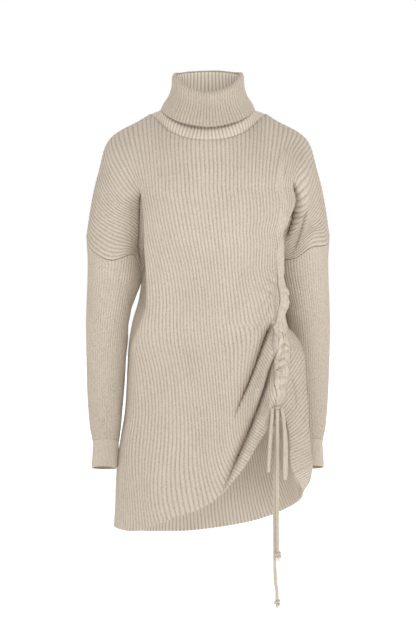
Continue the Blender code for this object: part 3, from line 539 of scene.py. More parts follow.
def torso(rib, z, side, back=False):
    """Point of the torso at a rib and a height, on one side."""
    a = np.abs(rib)
    lip_rib, lip_x, lip_y, tuck_x, seam_x, seam_y = np.moveaxis(read(SIDE[-1 if back else side], z), -1, 0)
    if side == 1:  # both panels share each side seam
        seam_x, seam_y = np.moveaxis(read(SIDE[1], z)[..., 4:], -1, 0)
        if back:
            lip_x = np.minimum(lip_x, seam_x - 3)
            tuck_x = np.minimum(tuck_x, seam_x - 1)
    front_y, back_y, spread, pull = np.moveaxis(read(CENTRE, z), -1, 0)
    centre_y = back_y if back else front_y
    if back:
        lip_y = 12 - lip_y * 0.82
        tuck_x = np.maximum(tuck_x, 0.5 * (lip_x + seam_x) - 3)
    q = np.clip(a / lip_rib, 0, 1)
    x = lip_x * (q + spread * q * (1 - q * q)) + side * pull * (1 - q * q)
    y = centre_y + (lip_y - centre_y) * q**2.5
    r = np.clip((a - lip_rib) / (RIBS - lip_rib), 0, 1)
    bend = 2 * tuck_x - 0.5 * (lip_x + seam_x)
    wall_x = (1 - r) ** 2 * lip_x + 2 * r * (1 - r) * bend + r * r * seam_x
    wall_y = lip_y + (seam_y - lip_y) * r
    behind = a > lip_rib
    x, y = np.where(behind, wall_x, x), np.where(behind, wall_y, y)
    return np.stack([side * x, y, z + 0 * x], axis=-1)


def crease_height(rib, crease):
    first, top, power = crease
    f = np.clip((np.abs(rib) - first) / (RIBS - first), 0, 1) ** power
    return top + (UNDERARM_Z - top) * f


def top_edge(rib, back=False):
    """Neckline to its corner, then the shoulder seam."""
    a, s = np.abs(rib), np.where(rib < 0, -1, 1)
    x, front_y, front_z, back_y, back_z = np.moveaxis(read(NECKLINE, a), -1, 0)
    neck = np.stack([x, back_y, back_z] if back else [x, front_y, front_z], axis=-1)
    seam = along(SHOULDER, (NECK_RIB, RIBS), a)
    point = np.where((a > NECK_RIB)[..., None], seam, neck)
    return point * np.stack([s, 1 + 0 * s, 1 + 0 * s], axis=-1)


def yoke(ribs, back=False):
    """Every rib from the top seam to the level of the armpit crease."""
    a = np.abs(ribs)
    top = top_edge(ribs, back)
    foot = np.empty_like(top)
    for side in (-1, 1):
        mine = (ribs < 0) if side < 0 else (ribs >= 0)
        z = crease_height(ribs[mine], BACK_CREASE if back else CREASE[side])
        foot[mine] = torso(ribs[mine], z, side, back)
    first = BACK_CREASE[0] + 0 * a if back else np.where(ribs < 0, CREASE[-1][0], CREASE[1][0])
    # Guide ribs are set out for a crease that starts at rib 20.
    at = np.where(a > first, 20 + (a - first) * 22 / (RIBS - first), np.minimum(a, 20))
    turn = np.stack([np.where(ribs < 0, -1, 1), 0 * a + (-1 if back else 1), 1 + 0 * a], -1)
    handles = read(YOKE, at)
    h1, h2 = handles[:, :3] * turn, handles[:, 3:] * turn
    return bezier(top, top + h1, foot + h2, foot, np.linspace(0, 1, YOKE_ROWS + 1))


def body(ribs, back=False):
    """Every rib from the crease to the hem."""
    f = np.linspace(0, 1, BODY_ROWS + 1)
    grid = np.empty((len(ribs), len(f), 3))
    for i, rib in enumerate(ribs):
        side, a = -1 if rib < 0 else 1, abs(rib)
        top = crease_height(rib, BACK_CREASE if back else CREASE[side])
        hem_edge, span = (BACK_HEM, (-RIBS, RIBS)) if back else (FRONT_HEM, (-RIBS, HEM_END))
        flap = not back and rib > HEM_END or a == RIBS and side > 0
        if flap:
            first = FLAP[0][0]
            row = read(FLAP, max(a, first))
            hem, h1, h2 = row[:3], row[3:6], row[6:]
            turn_z = FLAP_TOP
            if a < first:  # the ribs between share out the step from the hem to the flap
                share = (a - HEM_END) / (first - HEM_END)
                left = np.array(FRONT_HEM[-1])
                hem = left + (hem - left) * share
                turn_z = -430 + 45 * share
                h1, h2 = np.array([0, -4, -45]), np.array([0, 0, 45])
        elif back:
            hem, reach = along(hem_edge, span, rib), 0.42
            turn_z = through((-RIBS, 30, RIBS), (-600, -560, -470), rib)[0]
        else:
            hem, reach = along(hem_edge, span, rib + through(*HEM_DRAW, rib)[0]), 0.4
            turn_z = through((-RIBS, 0, HEM_END), (-600, -500, -430), rib)[0]
        last = TAIL[-1 if back else 1][0]  # the guide ribs hold those between this one and the seam
        guided = side > 0 and a > last
        if guided:
            turn_z = through((last, RIBS), (-450, FLAP_TOP), a)[0] if back else FLAP_TOP
        levels = top + (turn_z - top) * np.linspace(0, 1, 40)
        upper = torso(np.full(len(levels), float(rib)), levels, side, back)
        start = upper[-1]
        if not flap:  # it leaves the torso as it was going and meets the hem squarely
            run = np.diff(along(hem_edge, span, np.array([rib - 0.5, rib + 0.5])), axis=0)[0]
            run = run / max(np.linalg.norm(run), 1e-9)
            to_start, down = start - hem, upper[-1] - upper[-2]
            size = np.linalg.norm(to_start)
            h2 = to_start - run * (to_start @ run)
            h2 = h2 / np.linalg.norm(h2) * size * 0.36
            h1 = down / np.linalg.norm(down) * size * reach
        ends = (p[None] for p in (start, start + h1, hem + h2, hem))
        lower = bezier(*ends, np.linspace(0, 1, 60))[0]
        if guided:
            mark = read(TAIL[::-1], a if back else RIBS)
            swing = along(np.vstack([start, mark.reshape(4, 3)]), (0, 1), np.linspace(0, 1, 60))
            lower = swing if back else lower + (swing - lower) * (a - last) / (RIBS - last)
        path = np.concatenate([upper[:-1], lower])
        run = travelled(path)
        grid[i] = np.stack([np.interp(f * run[-1], run, path[:, k]) for k in range(3)], -1)
    return grid


def soften(grid, times):
    """Rounds the folded edges across the ribs."""
    soft = grid.copy()
    for _ in range(times):
        soft[1:-1] = 0.25 * soft[:-2] + 0.5 * soft[1:-1] + 0.25 * soft[2:]
    for _ in range(max(1, times // 2)):
        soft[:, 1:-1] = 0.25 * soft[:, :-2] + 0.5 * soft[:, 1:-1] + 0.25 * soft[:, 2:]
    return soft


def normals(grid, ring=False):
    """Unit normals of a grid, outward when ribs run left to right and rows down."""
    over = np.roll(grid, -1, 0) - np.roll(grid, 1, 0) if ring else np.gradient(grid, axis=0)
    return unit(np.cross(np.gradient(grid, axis=1), over))


def nudged(grid, table):
    """Moves the cloth in the front view, round each point of the table."""
    push = np.zeros(grid.shape)
    near = np.clip((-5 - grid[..., 1]) / 25, 0, 1)
    for x, z, dx, dz, reach in table:
        d = ((grid[..., 0] - x) ** 2 + (grid[..., 2] - z) ** 2) / reach**2
        push += (near * np.exp(-d))[..., None] * (dx, 0, dz)
    return grid + push


def finer(grid, *at):
    """The grid at fractional places of its first axes, on a smooth curve through it."""
    for axis, place in enumerate(at):
        g = np.moveaxis(grid, axis, 0)
        i = np.clip(np.asarray(place).astype(int), 0, len(g) - 2)
        f = (place - i).reshape(-1, *[1] * (g.ndim - 1))
        p = np.concatenate([2 * g[:1] - g[1:2], g, 2 * g[-1:] - g[-2:-1]])
        a, b, c, d = p[i], p[i + 1], p[i + 2], p[i + 3]
        g = b + 0.5 * f * (c - a + f * (2 * a - 5 * b + 4 * c - d + f * (3 * (b - c) + d - a)))
        grid = np.moveaxis(g, 0, axis)
    return grid


def uneven(shape, swells, seed):
    """Smooth random heights from -1 to 1, about so many swells each way."""
    rough = np.random.default_rng(seed).uniform(-1, 1, (swells[0] + 2, swells[1] + 2))
    return finer(rough, *(np.linspace(0, s + 1, n) for s, n in zip(swells, shape)))


def slid(grid, by):
    """The grid with its points slid sideways over so many columns."""
    at = np.clip(np.arange(len(grid))[:, None] + by, 0, len(grid) - 1)
    i = np.minimum(at.astype(int), len(grid) - 2)
    f, j = (at - i)[..., None], np.arange(grid.shape[1])[None]
    return grid[i, j] * (1 - f) + grid[i + 1, j] * f


def press(x, z, rib, table, sign):
    """Heights of the creases (sign -1) or swells (1) of a table, and the painted shade of the creases.

    The view is from the front. A crease falls off gradually on its left, with a
    narrow groove along its line; its painted shade is darkest along that line and
    spreads wider and paler on its left.
    """
    lift, painted_shade = np.zeros(x.shape), np.zeros(x.shape)
    for row in table:
        line, (depth, width), limit = np.reshape(row[:8], (4, 2)), row[8:10], row[10:]
        track = along(line, (0, 1), np.linspace(0, 1, 50))
        way = unit(np.gradient(track, axis=0))
        near = (x > line[:, 0].min() - 40) & (x < line[:, 0].max() + 40)
        near &= (z > line[:, 1].min() - 40) & (z < line[:, 1].max() + 40)
        dx, dz = x[near][:, None] - track[:, 0], z[near][:, None] - track[:, 1]
        k = np.hypot(dx, dz).argmin(-1)
        dx, dz = (np.take_along_axis(d, k[:, None], 1)[:, 0] for d in (dx, dz))
        right = dz * way[k, 0] - dx * way[k, 1] > 0  # of a falling line
        d = np.hypot(dx, dz)
        fade = np.interp(k / 49, (0, 0.08, 0.7, 1), (0.5, 1, 0.85, 0))
        if limit:  # only the ribs beyond this one, towards the side
            fade = fade * np.clip((rib[near] - limit[0]) * np.sign(limit[0]) / 1.5, 0, 1)
        if sign > 0:
            lift[near] += depth * fade * np.exp(-((d / width) ** 2))
            continue
        wide = np.exp(-((d / width * np.where(right, 2.2, 0.8)) ** 2))
        thin = np.exp(-((d / 1.9) ** 2))
        lift[near] -= depth * fade * (0.5 * wide + 0.5 * thin)
        shade = np.where(right, 0.1 * wide, 0.34 * np.exp(-((d / width * 0.6) ** 2)))
        dark = min(1, depth / 16) * fade * ((1 - shade) * thin + shade)
        painted_shade[near] = np.maximum(painted_shade[near], dark)
    return lift, painted_shade


ribs = np.arange(-RIBS, RIBS + 1)
# The ribs that show are finer; they are counted from the centre line to the side
# seam, the corner of the neckline and the casing, with four points to each.
FINE, NECK_FINE, CASING_FINE = 46, 14, 21
count = np.arange(-4 * FINE, 4 * FINE + 1) / 4
columns = through((0, NECK_FINE, CASING_FINE, FINE), (0, NECK_RIB, CASING_RIB, RIBS), np.abs(count))
columns = np.sign(count) * columns[:, 0]
panel_rows = np.r_[0, 0.12, 0.35, 0.7, np.linspace(1.2, YOKE_ROWS, 38)]
underarm = len(panel_rows) - 1  # its last row
closer = np.linspace(0, 1, 125)[1:]
closer = 1.25 * closer - 0.25 * closer**2  # the rows lie closer towards the hem
low_rows = YOKE_ROWS + (HEM_ROW - 0.8 - YOKE_ROWS) * closer
panel_rows = np.r_[panel_rows, low_rows, HEM_ROW - 0.55, HEM_ROW - 0.3, HEM_ROW - 0.12, HEM_ROW]
neck_right, neck_left = 4 * (FINE - NECK_FINE), 4 * (FINE + NECK_FINE)
SEAMS = (  # the edges that both panels share: first the sides, then the shoulders
    (0, slice(underarm, None)), (-1, slice(underarm, None)),
    (slice(0, neck_right + 1), 0), (slice(neck_left, None), 0),
)


def meet(pair, blend):
    """Gives both panels the same values along their side and shoulder seams."""
    for seam in SEAMS:
        pair[0][seam] = pair[1][seam] = blend(pair[0][seam] + pair[1][seam])


def halved(values):
    return 0.5 * values


panels = []
for back in (False, True):
    mid = np.concatenate([yoke(ribs, back), body(ribs, back)[:, 1:]], axis=1)
    mid = mid if back else nudged(mid, NUDGES)
    panels.append(finer(soften(mid, 3), columns + RIBS, panel_rows))
meet(panels, halved)
loose = np.minimum(1, (RIBS - np.abs(columns)) / 3)[:, None] * np.minimum(1, panel_rows / 3)
middle, painted_shades = [], []
for back, mid in enumerate(panels):
    stray = 0.55 * uneven(loose.shape, (17, 12), 5 + back) + 0.2 * uneven(loose.shape, (60, 40), 7)
    if not back:  # the ribs beside the casing are drawn down towards it
        reach = columns[:, None] - CASING_RIB
        drawn = np.exp(-(((mid[..., 2] + 352) / 42) ** 2)) * np.exp(-np.abs(reach) / 5)
        stray = stray - 2.2 * np.sign(reach) * drawn * np.minimum(1, np.abs(reach))
    mid = slid(mid, stray * loose * 0.9)
    x, z = mid[..., 0], mid[..., 2]
    rib_at = columns[:, None] + 0 * x
    # painted shade: the colour is darker at the foot of each crease and pucker
    lift, painted_shade = press(x, z, rib_at, BACK_CREASES if back else CREASES, -1)
    lift += press(x, z, rib_at, BACK_SWELLS if back else SWELLS, 1)[0]
    if not back:
        for x1, z1, x2, z2, depth in PUCKERS:
            line = np.outer((1, 0.7, 0.3, 0), (x1, z1)) + np.outer((0, 0.3, 0.7, 1), (x2, z2))
            dent, dark = press(x, z, rib_at, [(*line.ravel(), depth, 3.0)], -1)
            swell = press(x, z, rib_at, [(*(line + (0, 8)).ravel(), depth * 0.7, 4)], 1)[0]
            lift += dent + swell
            painted_shade = np.maximum(painted_shade, 1.6 * dark)
    painted_shades.append(painted_shade)
    wavy = 1.5 * uneven(loose.shape, (9, 7), 11 + back) + 0.5 * uneven(loose.shape, (26, 22), 13 + back)
    lift += loose * wavy
    middle.append(mid + (-1 if back else 1) * normals(mid) * lift[..., None])
meet(middle, halved)
facing = [normals(middle[0]), -normals(middle[1])]
meet(facing, unit)

# The cord's pull swings the ribs round: between two folds they run across the
# roll, left of the casing they lean into it, and right of it they fan out.
UPPER_TOP, LOWER_TOP = -386, -449  # where the two folds leave the casing
ROLL_SLANT, ROLL_FOOT = 0.10, -506  # ribs per mm of height between the folds, above this height
STRIP_SLANT, STRIP_FOOT = 0.055, -679  # the same between the lower fold and the hem
LEAN = 4.5  # ribs, beside the casing
x, z = middle[0][..., 0], middle[0][..., 2]
upper_fold, lower_fold = (np.interp(z, row[7::-2], row[6::-2]) for row in CREASES[:2])


def beyond(distance):
    return 1 / (1 + np.exp(-np.clip(distance / 0.7, -30, 30)))


rib_places = [count[:, None] + 0 * mid[..., 0] for mid in middle]
roll = beyond(x - upper_fold) * beyond(lower_fold - x) * (z < UPPER_TOP)
rib_places[0] += ROLL_SLANT * np.maximum(0, z - ROLL_FOOT) * roll
strip = beyond(x - lower_fold) * (z < LOWER_TOP) * (x < 126)
rib_places[0] += STRIP_SLANT * np.maximum(0, z - STRIP_FOOT) * strip
edge = np.where(z > UPPER_TOP, 116, upper_fold)  # of the casing, then of the fold
lean = np.exp(-(((edge - x) / 50) ** 2)) * beyond(edge - x) * np.clip((-290 - z) / 98, 0, 1)
rib_places[0] -= LEAN * lean * np.exp(-((np.minimum(0, z - UPPER_TOP) / 60) ** 2))
levels = np.arange(FAN[0][0], FAN[-1][0] + 1)
aside, downward = read(FAN, levels).T
so_far = np.cumsum(downward[::-1])[::-1]
fan = np.interp(z, levels, aside) * (x - 150) + np.interp(z, levels, so_far) + 33
swung = (count[:, None] > CASING_FINE) * through((-430, -365), (1, 0), z)[..., 0]
rib_places[0] += (fan - rib_places[0]) * swung

# ---------------------------------------------------------------- sleeves
# Each sleeve is a tube of finer, flatter rib set on to the dropped armhole, with
# its own seam along the underarm. It hangs over a slightly bent arm.
# Arm sections at the middle of the wall: height, centre x, centre y, half width
# across, half depth, and the tilt of the section (its front edge is the higher).
ARM = (  # z, cx, cy, rx, ry, tilt
    (-640, 183.0, -21, 21.5, 29.5, 10),
    (-615, 182.0, -17, 21.5, 29.0, 10),
    (-594, 181.2, -13, 22.5, 29.5, 10),
    (-570, 181.8, -8, 26.5, 32, 9),
    (-525, 182.2, -1, 30.5, 35, 8),
    (-470, 181.5, 5, 33.5, 37.5, 5),
    (-400, 180.0, 7, 36.5, 41, 2),
    (-340, 174.7, 4, 40.3, 44, 0),
    (-312, 171.0, 3, 42.8, 46, 0),
    (-265, 168.5, 1, 45.0, 47, 0),
    (-229, 169.5, 0, 46.5, 48.5, 0),
)
ARM_BACK = {-1: 0.0, 1: 14.0}  # the arm beside the flap hangs a little further back
CUFF_TOP = -593.0
SLEEVE_RIBS = 60
HALF_ROUND = 2 * SLEEVE_RIBS  # points on the front or the back half of a sleeve, four to a rib
BENDS = (  # soft folds in the crook and behind the elbow: where round the arm, height, depth, reach
    (1.9, -318, 2.2, 11), (2.5, -348, 1.8, 12), (4.4, -372, 2.4, 10), (4.9, -402, 2.0, 12),
    (4.2, -436, 1.4, 12), (1.3, -420, 0.9, 16),
)


def arm(turn, z, side):
    """Point of the arm's tube. turn: 0 outside, a quarter in front, a half inside."""
    cx, cy, rx, ry, tilt = np.moveaxis(read(ARM, z), -1, 0)
    cy = cy + ARM_BACK[side] * np.clip((-340 - z) / 220, 0, 1)
    c, s = np.cos(turn), np.sin(turn)
    higher = ry * s * np.tan(np.radians(tilt))
    return np.stack([side * (cx + rx * c), cy - ry * s, z + higher], axis=-1)


def sleeve_grid(ring, side, share):
    """The sleeve from its ring at the armhole down to the cuff, at shares of the way."""
    centre = read(ARM, ring[:, 2])[:, :2]
    turn = np.arctan2(centre[:, 1] - ring[:, 1], side * ring[:, 0] - centre[:, 0])
    turn = np.unwrap(turn)
    turn -= 2 * np.pi * round((turn.mean() - np.pi) / (2 * np.pi))
    even = np.arange(len(ring)) / len(ring) * 2 * np.pi
    z = ring[:, 2:3] + (CUFF_TOP - ring[:, 2:3]) * share
    angle = turn[:, None] + (even - turn)[:, None] * (1 - (1 - share) ** 2)
    off = (ring - arm(turn, ring[:, 2], side))[:, None]
    away = (ring[:, 2:3] - z)[..., None]
    return arm(angle, z, side) + off * np.exp(-((away / 42) ** 2))


def spaced(points, number):
    """Evenly spaced places along a row of points, its last left out: index and share."""
    run = travelled(points)
    at = np.interp(np.arange(number) / number * run[-1], run, np.arange(len(run)))
    i = np.minimum(at.astype(int), len(run) - 2)
    return i, (at - i)[:, None], run / run[-1]


def between(values, place):
    i, f, _ = place
    return values[i] * (1 - f) + values[i + 1] * f


def read_back(values, place):
    """Evenly spaced values at the points they were spaced over."""
    share = np.linspace(0, 1, len(values))
    return unit(np.stack([np.interp(place[2], share, values[:, k]) for k in range(3)], -1))


def opening(part, numbers):
    """Places evenly spaced round an opening of the panels, their points and outward ways.

    part: the opening's edge on a panel; numbers: how many places each panel has.
    """
    edges = middle[0][part], middle[1][part][::-1]
    out = facing[0][part], facing[1][part][::-1]
    for i in (0, -1):
        out[0][i] = out[1][-1 - i] = unit(out[0][i] + out[1][-1 - i])
    places = [spaced(edge, number) for edge, number in zip(edges, numbers)]
    ring = np.concatenate([between(edge, place) for edge, place in zip(edges, places)])
    ring_out = np.concatenate([between(way, place) for way, place in zip(out, places)])
    return places, ring, ring_out


def lend(part, out, front, places):
    """Turns the panels' edges the way of the piece sewn to them, `front` points in front."""
    facing[0][part] = read_back(out[: front + 1], places[0])
    facing[1][part] = read_back(np.concatenate([out[front:], out[:1]]), places[1])[::-1]


def to_edge(grid, axis, far=False):
    """How far over the cloth each point lies from the first or the far edge."""
    step = np.linalg.norm(np.diff(grid, axis=axis), axis=-1)
    run = np.insert(np.cumsum(step, axis=axis), 0, 0, axis=axis)
    return np.take(run, [-1], axis=axis) - run if far else run


def groove(distance, depth=0.9, reach=2.4):
    """The dip of the cloth along a seam."""
    return -depth * np.exp(-((distance / reach) ** 2))


def shell(name, look, outer, inner, across, down, ring, flip, painted_shading, reverse, spread):
    """Closed cloth between two grids of points.

    The inner side has every second column. across: the stitch column of each point
    (one column more than the grid if it is a ring); down: the course of each point;
    flip turns the faces round; then the painted shade of each point, most at the foot of
    folds and creases, and painted light where it is below 0; reverse: the same for the
    inner side, where painted light makes it paler; spread: the inner side's
    stitch columns for each of the outer side's, course by course.
    """
    n, m = outer.shape[:2]
    columns = np.arange(n if ring else n - 1)
    pairs = columns[::2]
    courses, last = np.arange(m - 1), m - 1

    def patch(columns, courses, *corners):
        i, j = (a.ravel() for a in np.meshgrid(columns, courses, indexing="ij"))
        return np.stack([np.stack([i + a, j + b, c + 0 * i], -1) for a, b, c in corners], 1)

    patches = [
        patch(columns, courses, (0, 0, 0), (0, 1, 0), (1, 1, 0), (1, 0, 0)),
        patch(pairs, courses, (0, 0, 1), (2, 0, 1), (2, 1, 1), (0, 1, 1)),
        patch(pairs, [0], (0, 0, 0), (1, 0, 0), (2, 0, 0), (2, 0, 1), (0, 0, 1)),
        patch(pairs, [last], (0, 0, 0), (0, 0, 1), (2, 0, 1), (2, 0, 0), (1, 0, 0)),
    ]
    if not ring:
        patches.append(patch([0], courses, (0, 0, 0), (0, 0, 1), (0, 1, 1), (0, 1, 0)))
        patches.append(patch([n - 1], courses, (0, 0, 0), (0, 1, 0), (0, 1, 1), (0, 0, 1)))
    if flip:
        patches = [p[:, ::-1] for p in patches]
    i, j, layer = np.concatenate([p.reshape(-1, 3) for p in patches]).T
    behind = n * m + i // 2 % ((n + 1) // 2) * m + j
    vertex = np.where(layer > 0, behind, i % n * m + j)
    sizes = np.concatenate([[p.shape[1]] * len(p) for p in patches])
    faces = [face.tolist() for face in np.split(vertex, np.cumsum(sizes)[:-1])]
    wider = np.where(layer > 0, np.broadcast_to(spread, m)[j], 1)
    stitch = np.stack([across[i, j] * wider + 0.5 * layer, down[i % n, j]], -1)
    points = np.concatenate([outer.reshape(-1, 3), inner[::2].reshape(-1, 3)])
    # painted shade of both sides, and painted light where it is below 0
    deep = np.concatenate([painted_shading.ravel(), np.broadcast_to(reverse, painted_shading.shape)[::2].ravel()])
    return made(name, points, faces, stitch, look, deep)


def cloth(name, look, mid, out, across, rib, thick, course, ring=False, flip=False, painted_shading=0.0,
          reverse=0.0, spread=1.0):
    """A piece of ribbed cloth round a surface: both its walls follow every rib."""
    across = np.broadcast_to(np.reshape(across, (len(across), -1)), (len(across), mid.shape[1]))
    turn = np.pi * across[: len(mid)]
    wave, wave_in = ((2 * np.abs(np.sin(turn * k)) ** 0.8 - 1) * rib for k in (1, spread))
    outer = mid + out * (thick / 2 + wave)[..., None]
    inner = mid + out * (wave_in - thick / 2)[..., None]
    down = to_edge(mid, 1) / course
    piece = shell(name, look, outer, inner, across, down, ring, flip, painted_shading + 0 * down, reverse, spread)
    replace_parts(piece, name)
    return piece


sleeve_knit = knit("sleeve_knit", yarn=(0.59, 0.513, 0.424), painted_hollow_shade=(0.37, 0.305, 0.24),
                   depth=0.6, stitch=0.3, flecks=0.9)
across = np.arange(2 * HALF_ROUND + 1) / 4  # the rib at each point, and once more at the first
share = np.r_[0, 0.003, 0.008, np.linspace(0.015, 0.985, 102), 0.992, 0.997, 1]  # of the way down
turn = np.arange(2 * HALF_ROUND) / (2 * HALF_ROUND) * 2 * np.pi
wrists = {}  # where each cuff is sewn on: points, and the way out of the cloth
for side, word in ((-1, "right"), (1, "left")):  # the wearer's own right and left
    armhole = (0 if side < 0 else -1, slice(underarm + 1))
    places, ring, ring_out = opening(armhole, (HALF_ROUND, HALF_ROUND))
    mid = sleeve_grid(ring, side, share)
    out = normals(mid, True) * -side
    bend = 0 * mid[..., 2]
    for at, height, deep, reach in BENDS:
        slant = 14 * side * np.sin(turn - at)[:, None]
        here = np.clip(np.cos(turn - at)[:, None], 0, 1) ** 1.5
        bend -= deep * np.exp(-(((mid[..., 2] - height - slant) / reach) ** 2)) * here
    calm = np.minimum(1, share / 0.06) * np.minimum(1, (1 - share) / 0.05)
    closing = np.minimum(1, np.abs(np.sin(turn / 2)) * 4)[:, None]  # 0 where the round closes
    lift = calm * (1.3 * uneven(bend.shape, (7, 9), 21 + side) * closing + bend)
    mid = mid + out * lift[..., None]
    out = normals(mid, True) * -side
    out[:, 0] = unit(out[:, 0] + ring_out)
    lend(armhole, out[:, 0], HALF_ROUND, places)
    wrists[side] = mid[:, -1].copy(), out[:, -1].copy()
    from_seam = np.abs(np.arange(2 * HALF_ROUND) - HALF_ROUND)[:, None] * 0.9
    dip = groove(to_edge(mid, 1), 0.5) + groove(to_edge(mid, 1, True), 0.2) + groove(from_seam, 0.8, 1.3)
    mid[:, 0] += unit(mid[:, 1] - mid[:, 0]) * 0.3
    mid[:, -1] += unit(mid[:, -2] - mid[:, -1]) * 0.1
    mid = mid + out * dip[..., None]
    rib = 0.24 * (0.25 + 0.75 * np.minimum(1, to_edge(mid, 1) / 9))
    rib = rib * (1 + 0.3 * uneven(dip.shape, (20, 8), 3))
    piece = cloth(f"sleeve_{word}", sleeve_knit, mid, out, across, rib,
                  thick=2.0, course=3.4, ring=True, flip=side > 0)

# ------------------------------------------------------------------ cuffs
# A short, closer-knitted band at the end of each sleeve, open at the wrist.
cuff_knit = knit("cuff_knit", yarn=(0.67, 0.588, 0.488), painted_hollow_shade=(0.40, 0.33, 0.26),
                 depth=0.8, stitch=0.3, flecks=0.5)
down = np.r_[0, 0.5, 1.3, np.linspace(3, 43, 14), 44.8, 46.2, 47.0]
for side, word in ((-1, "right"), (1, "left")):
    seam, seam_out = wrists[side]
    mid = arm(turn[:, None] + 0 * down, CUFF_TOP - down + 0 * turn[:, None], side)
    mid += (seam - mid[:, 0])[:, None] * np.exp(-((down / 9) ** 2))[None, :, None]
    out = normals(mid, True) * -side
    swell = 0.5 * uneven(mid.shape[:2], (9, 3), 31 + side) * np.minimum(1, down / 10)
    swell -= 0.9 * np.exp(-(((down - 6) / 6) ** 2))  # drawn in below its seam
    mid = mid + out * swell[..., None]
    out = normals(mid, True) * -side
    out[:, 0] = seam_out
    dip = groove(to_edge(mid, 1), 0.2)
    mid[:, 0] += unit(mid[:, 1] - mid[:, 0]) * 0.1
    mid = mid + out * dip[..., None]
    scallop = 0.5 * np.cos(2 * np.pi * across[:-1])[:, None]  # every rib ends a little lower
    mid[:, -1] += scallop * unit(mid[:, -2] - mid[:, -1])
    rib = 0.42 * (0.4 + 0.6 * np.minimum(1, down / 8)) + 0 * dip
    piece = cloth(f"cuff_{word}", cuff_knit, mid, out, across, rib,
                  thick=2.0, course=3.0, ring=True, flip=side > 0)

# ----------------------------------------------------------------- collar
# A long tube of fine rib linked on to the neckline. It stands up round the neck
# and its upper half folds down outside, so the free edge lies over the shoulders.
# The collar's rings from the neckline up, over the rim and down to the free edge.
COLLAR = (  # half width, front y, back y, front z, side z, back z
    (84, -77, 67, -52, -6, 8),
    (69, -66, 61, -33, 8, 22),
    (58.5, -54, 57, -8, 30, 44),
    (56, -50, 56, 12, 52, 65),
    (59, -52.5, 58.5, 20, 60, 72.5),
    (62.3, -57.5, 62, 16, 54, 68),
    (63.3, -62, 64, 2, 38, 56),
    (69, -71, 68, -16, 20, 40),
    (78, -81, 73, -32, 6, 26),
    (83.5, -90, 77, -46, -8, 12),
)
COLLAR_RIBS = 76
INNER_RIBS = 51  # as many as it seems to have inside the neck, where they are wider
ROUND_NECK = 4 * COLLAR_RIBS  # points round the neckline
ROUND_FRONT = 168  # and how many of them are on the front panel


def collar_grid(base, rows):
    """Columns follow the points of the neckline; rows run from the seam to the edge."""
    angle = np.unwrap(np.arctan2(base[:, 0] / 99.5, -(base[:, 1] + 6) / 78))
    c, s = np.cos(angle), np.sin(angle)
    rings = [base]
    for half, front_y, back_y, front_z, side_z, back_z in COLLAR:
        y = np.where(c > 0, front_y * c, -back_y * c)
        lean = np.abs(c) ** 1.3
        z = side_z + np.where(c > 0, front_z - side_z, back_z - side_z) * lean
        rings.append(np.stack([half * s, y, z], axis=-1))
    rings = np.array(rings)
    step = np.linalg.norm(np.diff(rings, axis=0), axis=-1).mean(1)
    run = np.insert(np.cumsum(step), 0, 0) / step.sum()
    at = np.interp(rows, np.arange(len(run)), run)
    grid = through(run, rings.reshape(len(rings), -1), at)
    return grid.reshape(len(rows), -1, 3).transpose(1, 0, 2)


collar_knit = knit("collar_knit", yarn=(0.60, 0.524, 0.435), painted_hollow_shade=(0.34, 0.275, 0.215),
                   depth=0.95, stitch=0.3, flecks=0.5)
neckline = (slice(neck_right, neck_left + 1), 0)
places, ring, ring_out = opening(neckline, (ROUND_FRONT, ROUND_NECK - ROUND_FRONT))
rows = np.r_[0, 0.05, 0.13, 0.24, np.linspace(0.4, 9.75, 62), 9.86, 9.94, 10]
mid = collar_grid(ring, 0.975 * rows)  # the finished edge sits a little short
out = -normals(mid, True)
mid = mid + out * (0.9 * uneven(mid.shape[:2], (13, 7), 41) * np.minimum(1, rows / 1.5))[..., None]
out = -normals(mid, True)
out[:, 0] = unit(out[:, 0] + ring_out)
for i in (0, ROUND_FRONT):  # the neckline's corners face up
    out[i, 0] = unit(out[i, 0] + (0, 0, 0.4))
lend(neckline, out[:, 0], ROUND_FRONT, places)
across = np.arange(ROUND_NECK + 1) / 4
dip = groove(to_edge(mid, 1))
mid[:, 0] += unit(mid[:, 1] - mid[:, 0]) * 0.3
mid = mid + out * dip[..., None]
mid[:, -1] += 0.7 * np.cos(2 * np.pi * across[:-1])[:, None] * unit(mid[:, -2] - mid[:, -1])
pairs = 1 + 0.35 * np.cos(np.pi * (across[:-1] + 0.5))[:, None]  # every other rib stands out more
foot = rows < 1.6  # the band that stands on the neckline
rib = 0.62 * (0.3 + 0.7 * np.minimum(1, to_edge(mid, 1) / 6)) * pairs * np.where(foot, 0.5, 1)
spread = np.where(rows < 4.7, INNER_RIBS / COLLAR_RIBS, 1)
# Painted light: the band and the wrong side up to the rim are painted paler, where they lie in shade.
piece = cloth("turtleneck_collar", collar_knit, mid, out, across, rib,
              thick=2.2, course=3.2, ring=True, flip=True,
              painted_shading=-0.3 * foot, reverse=-0.8 * (rows < 4.6), spread=spread)

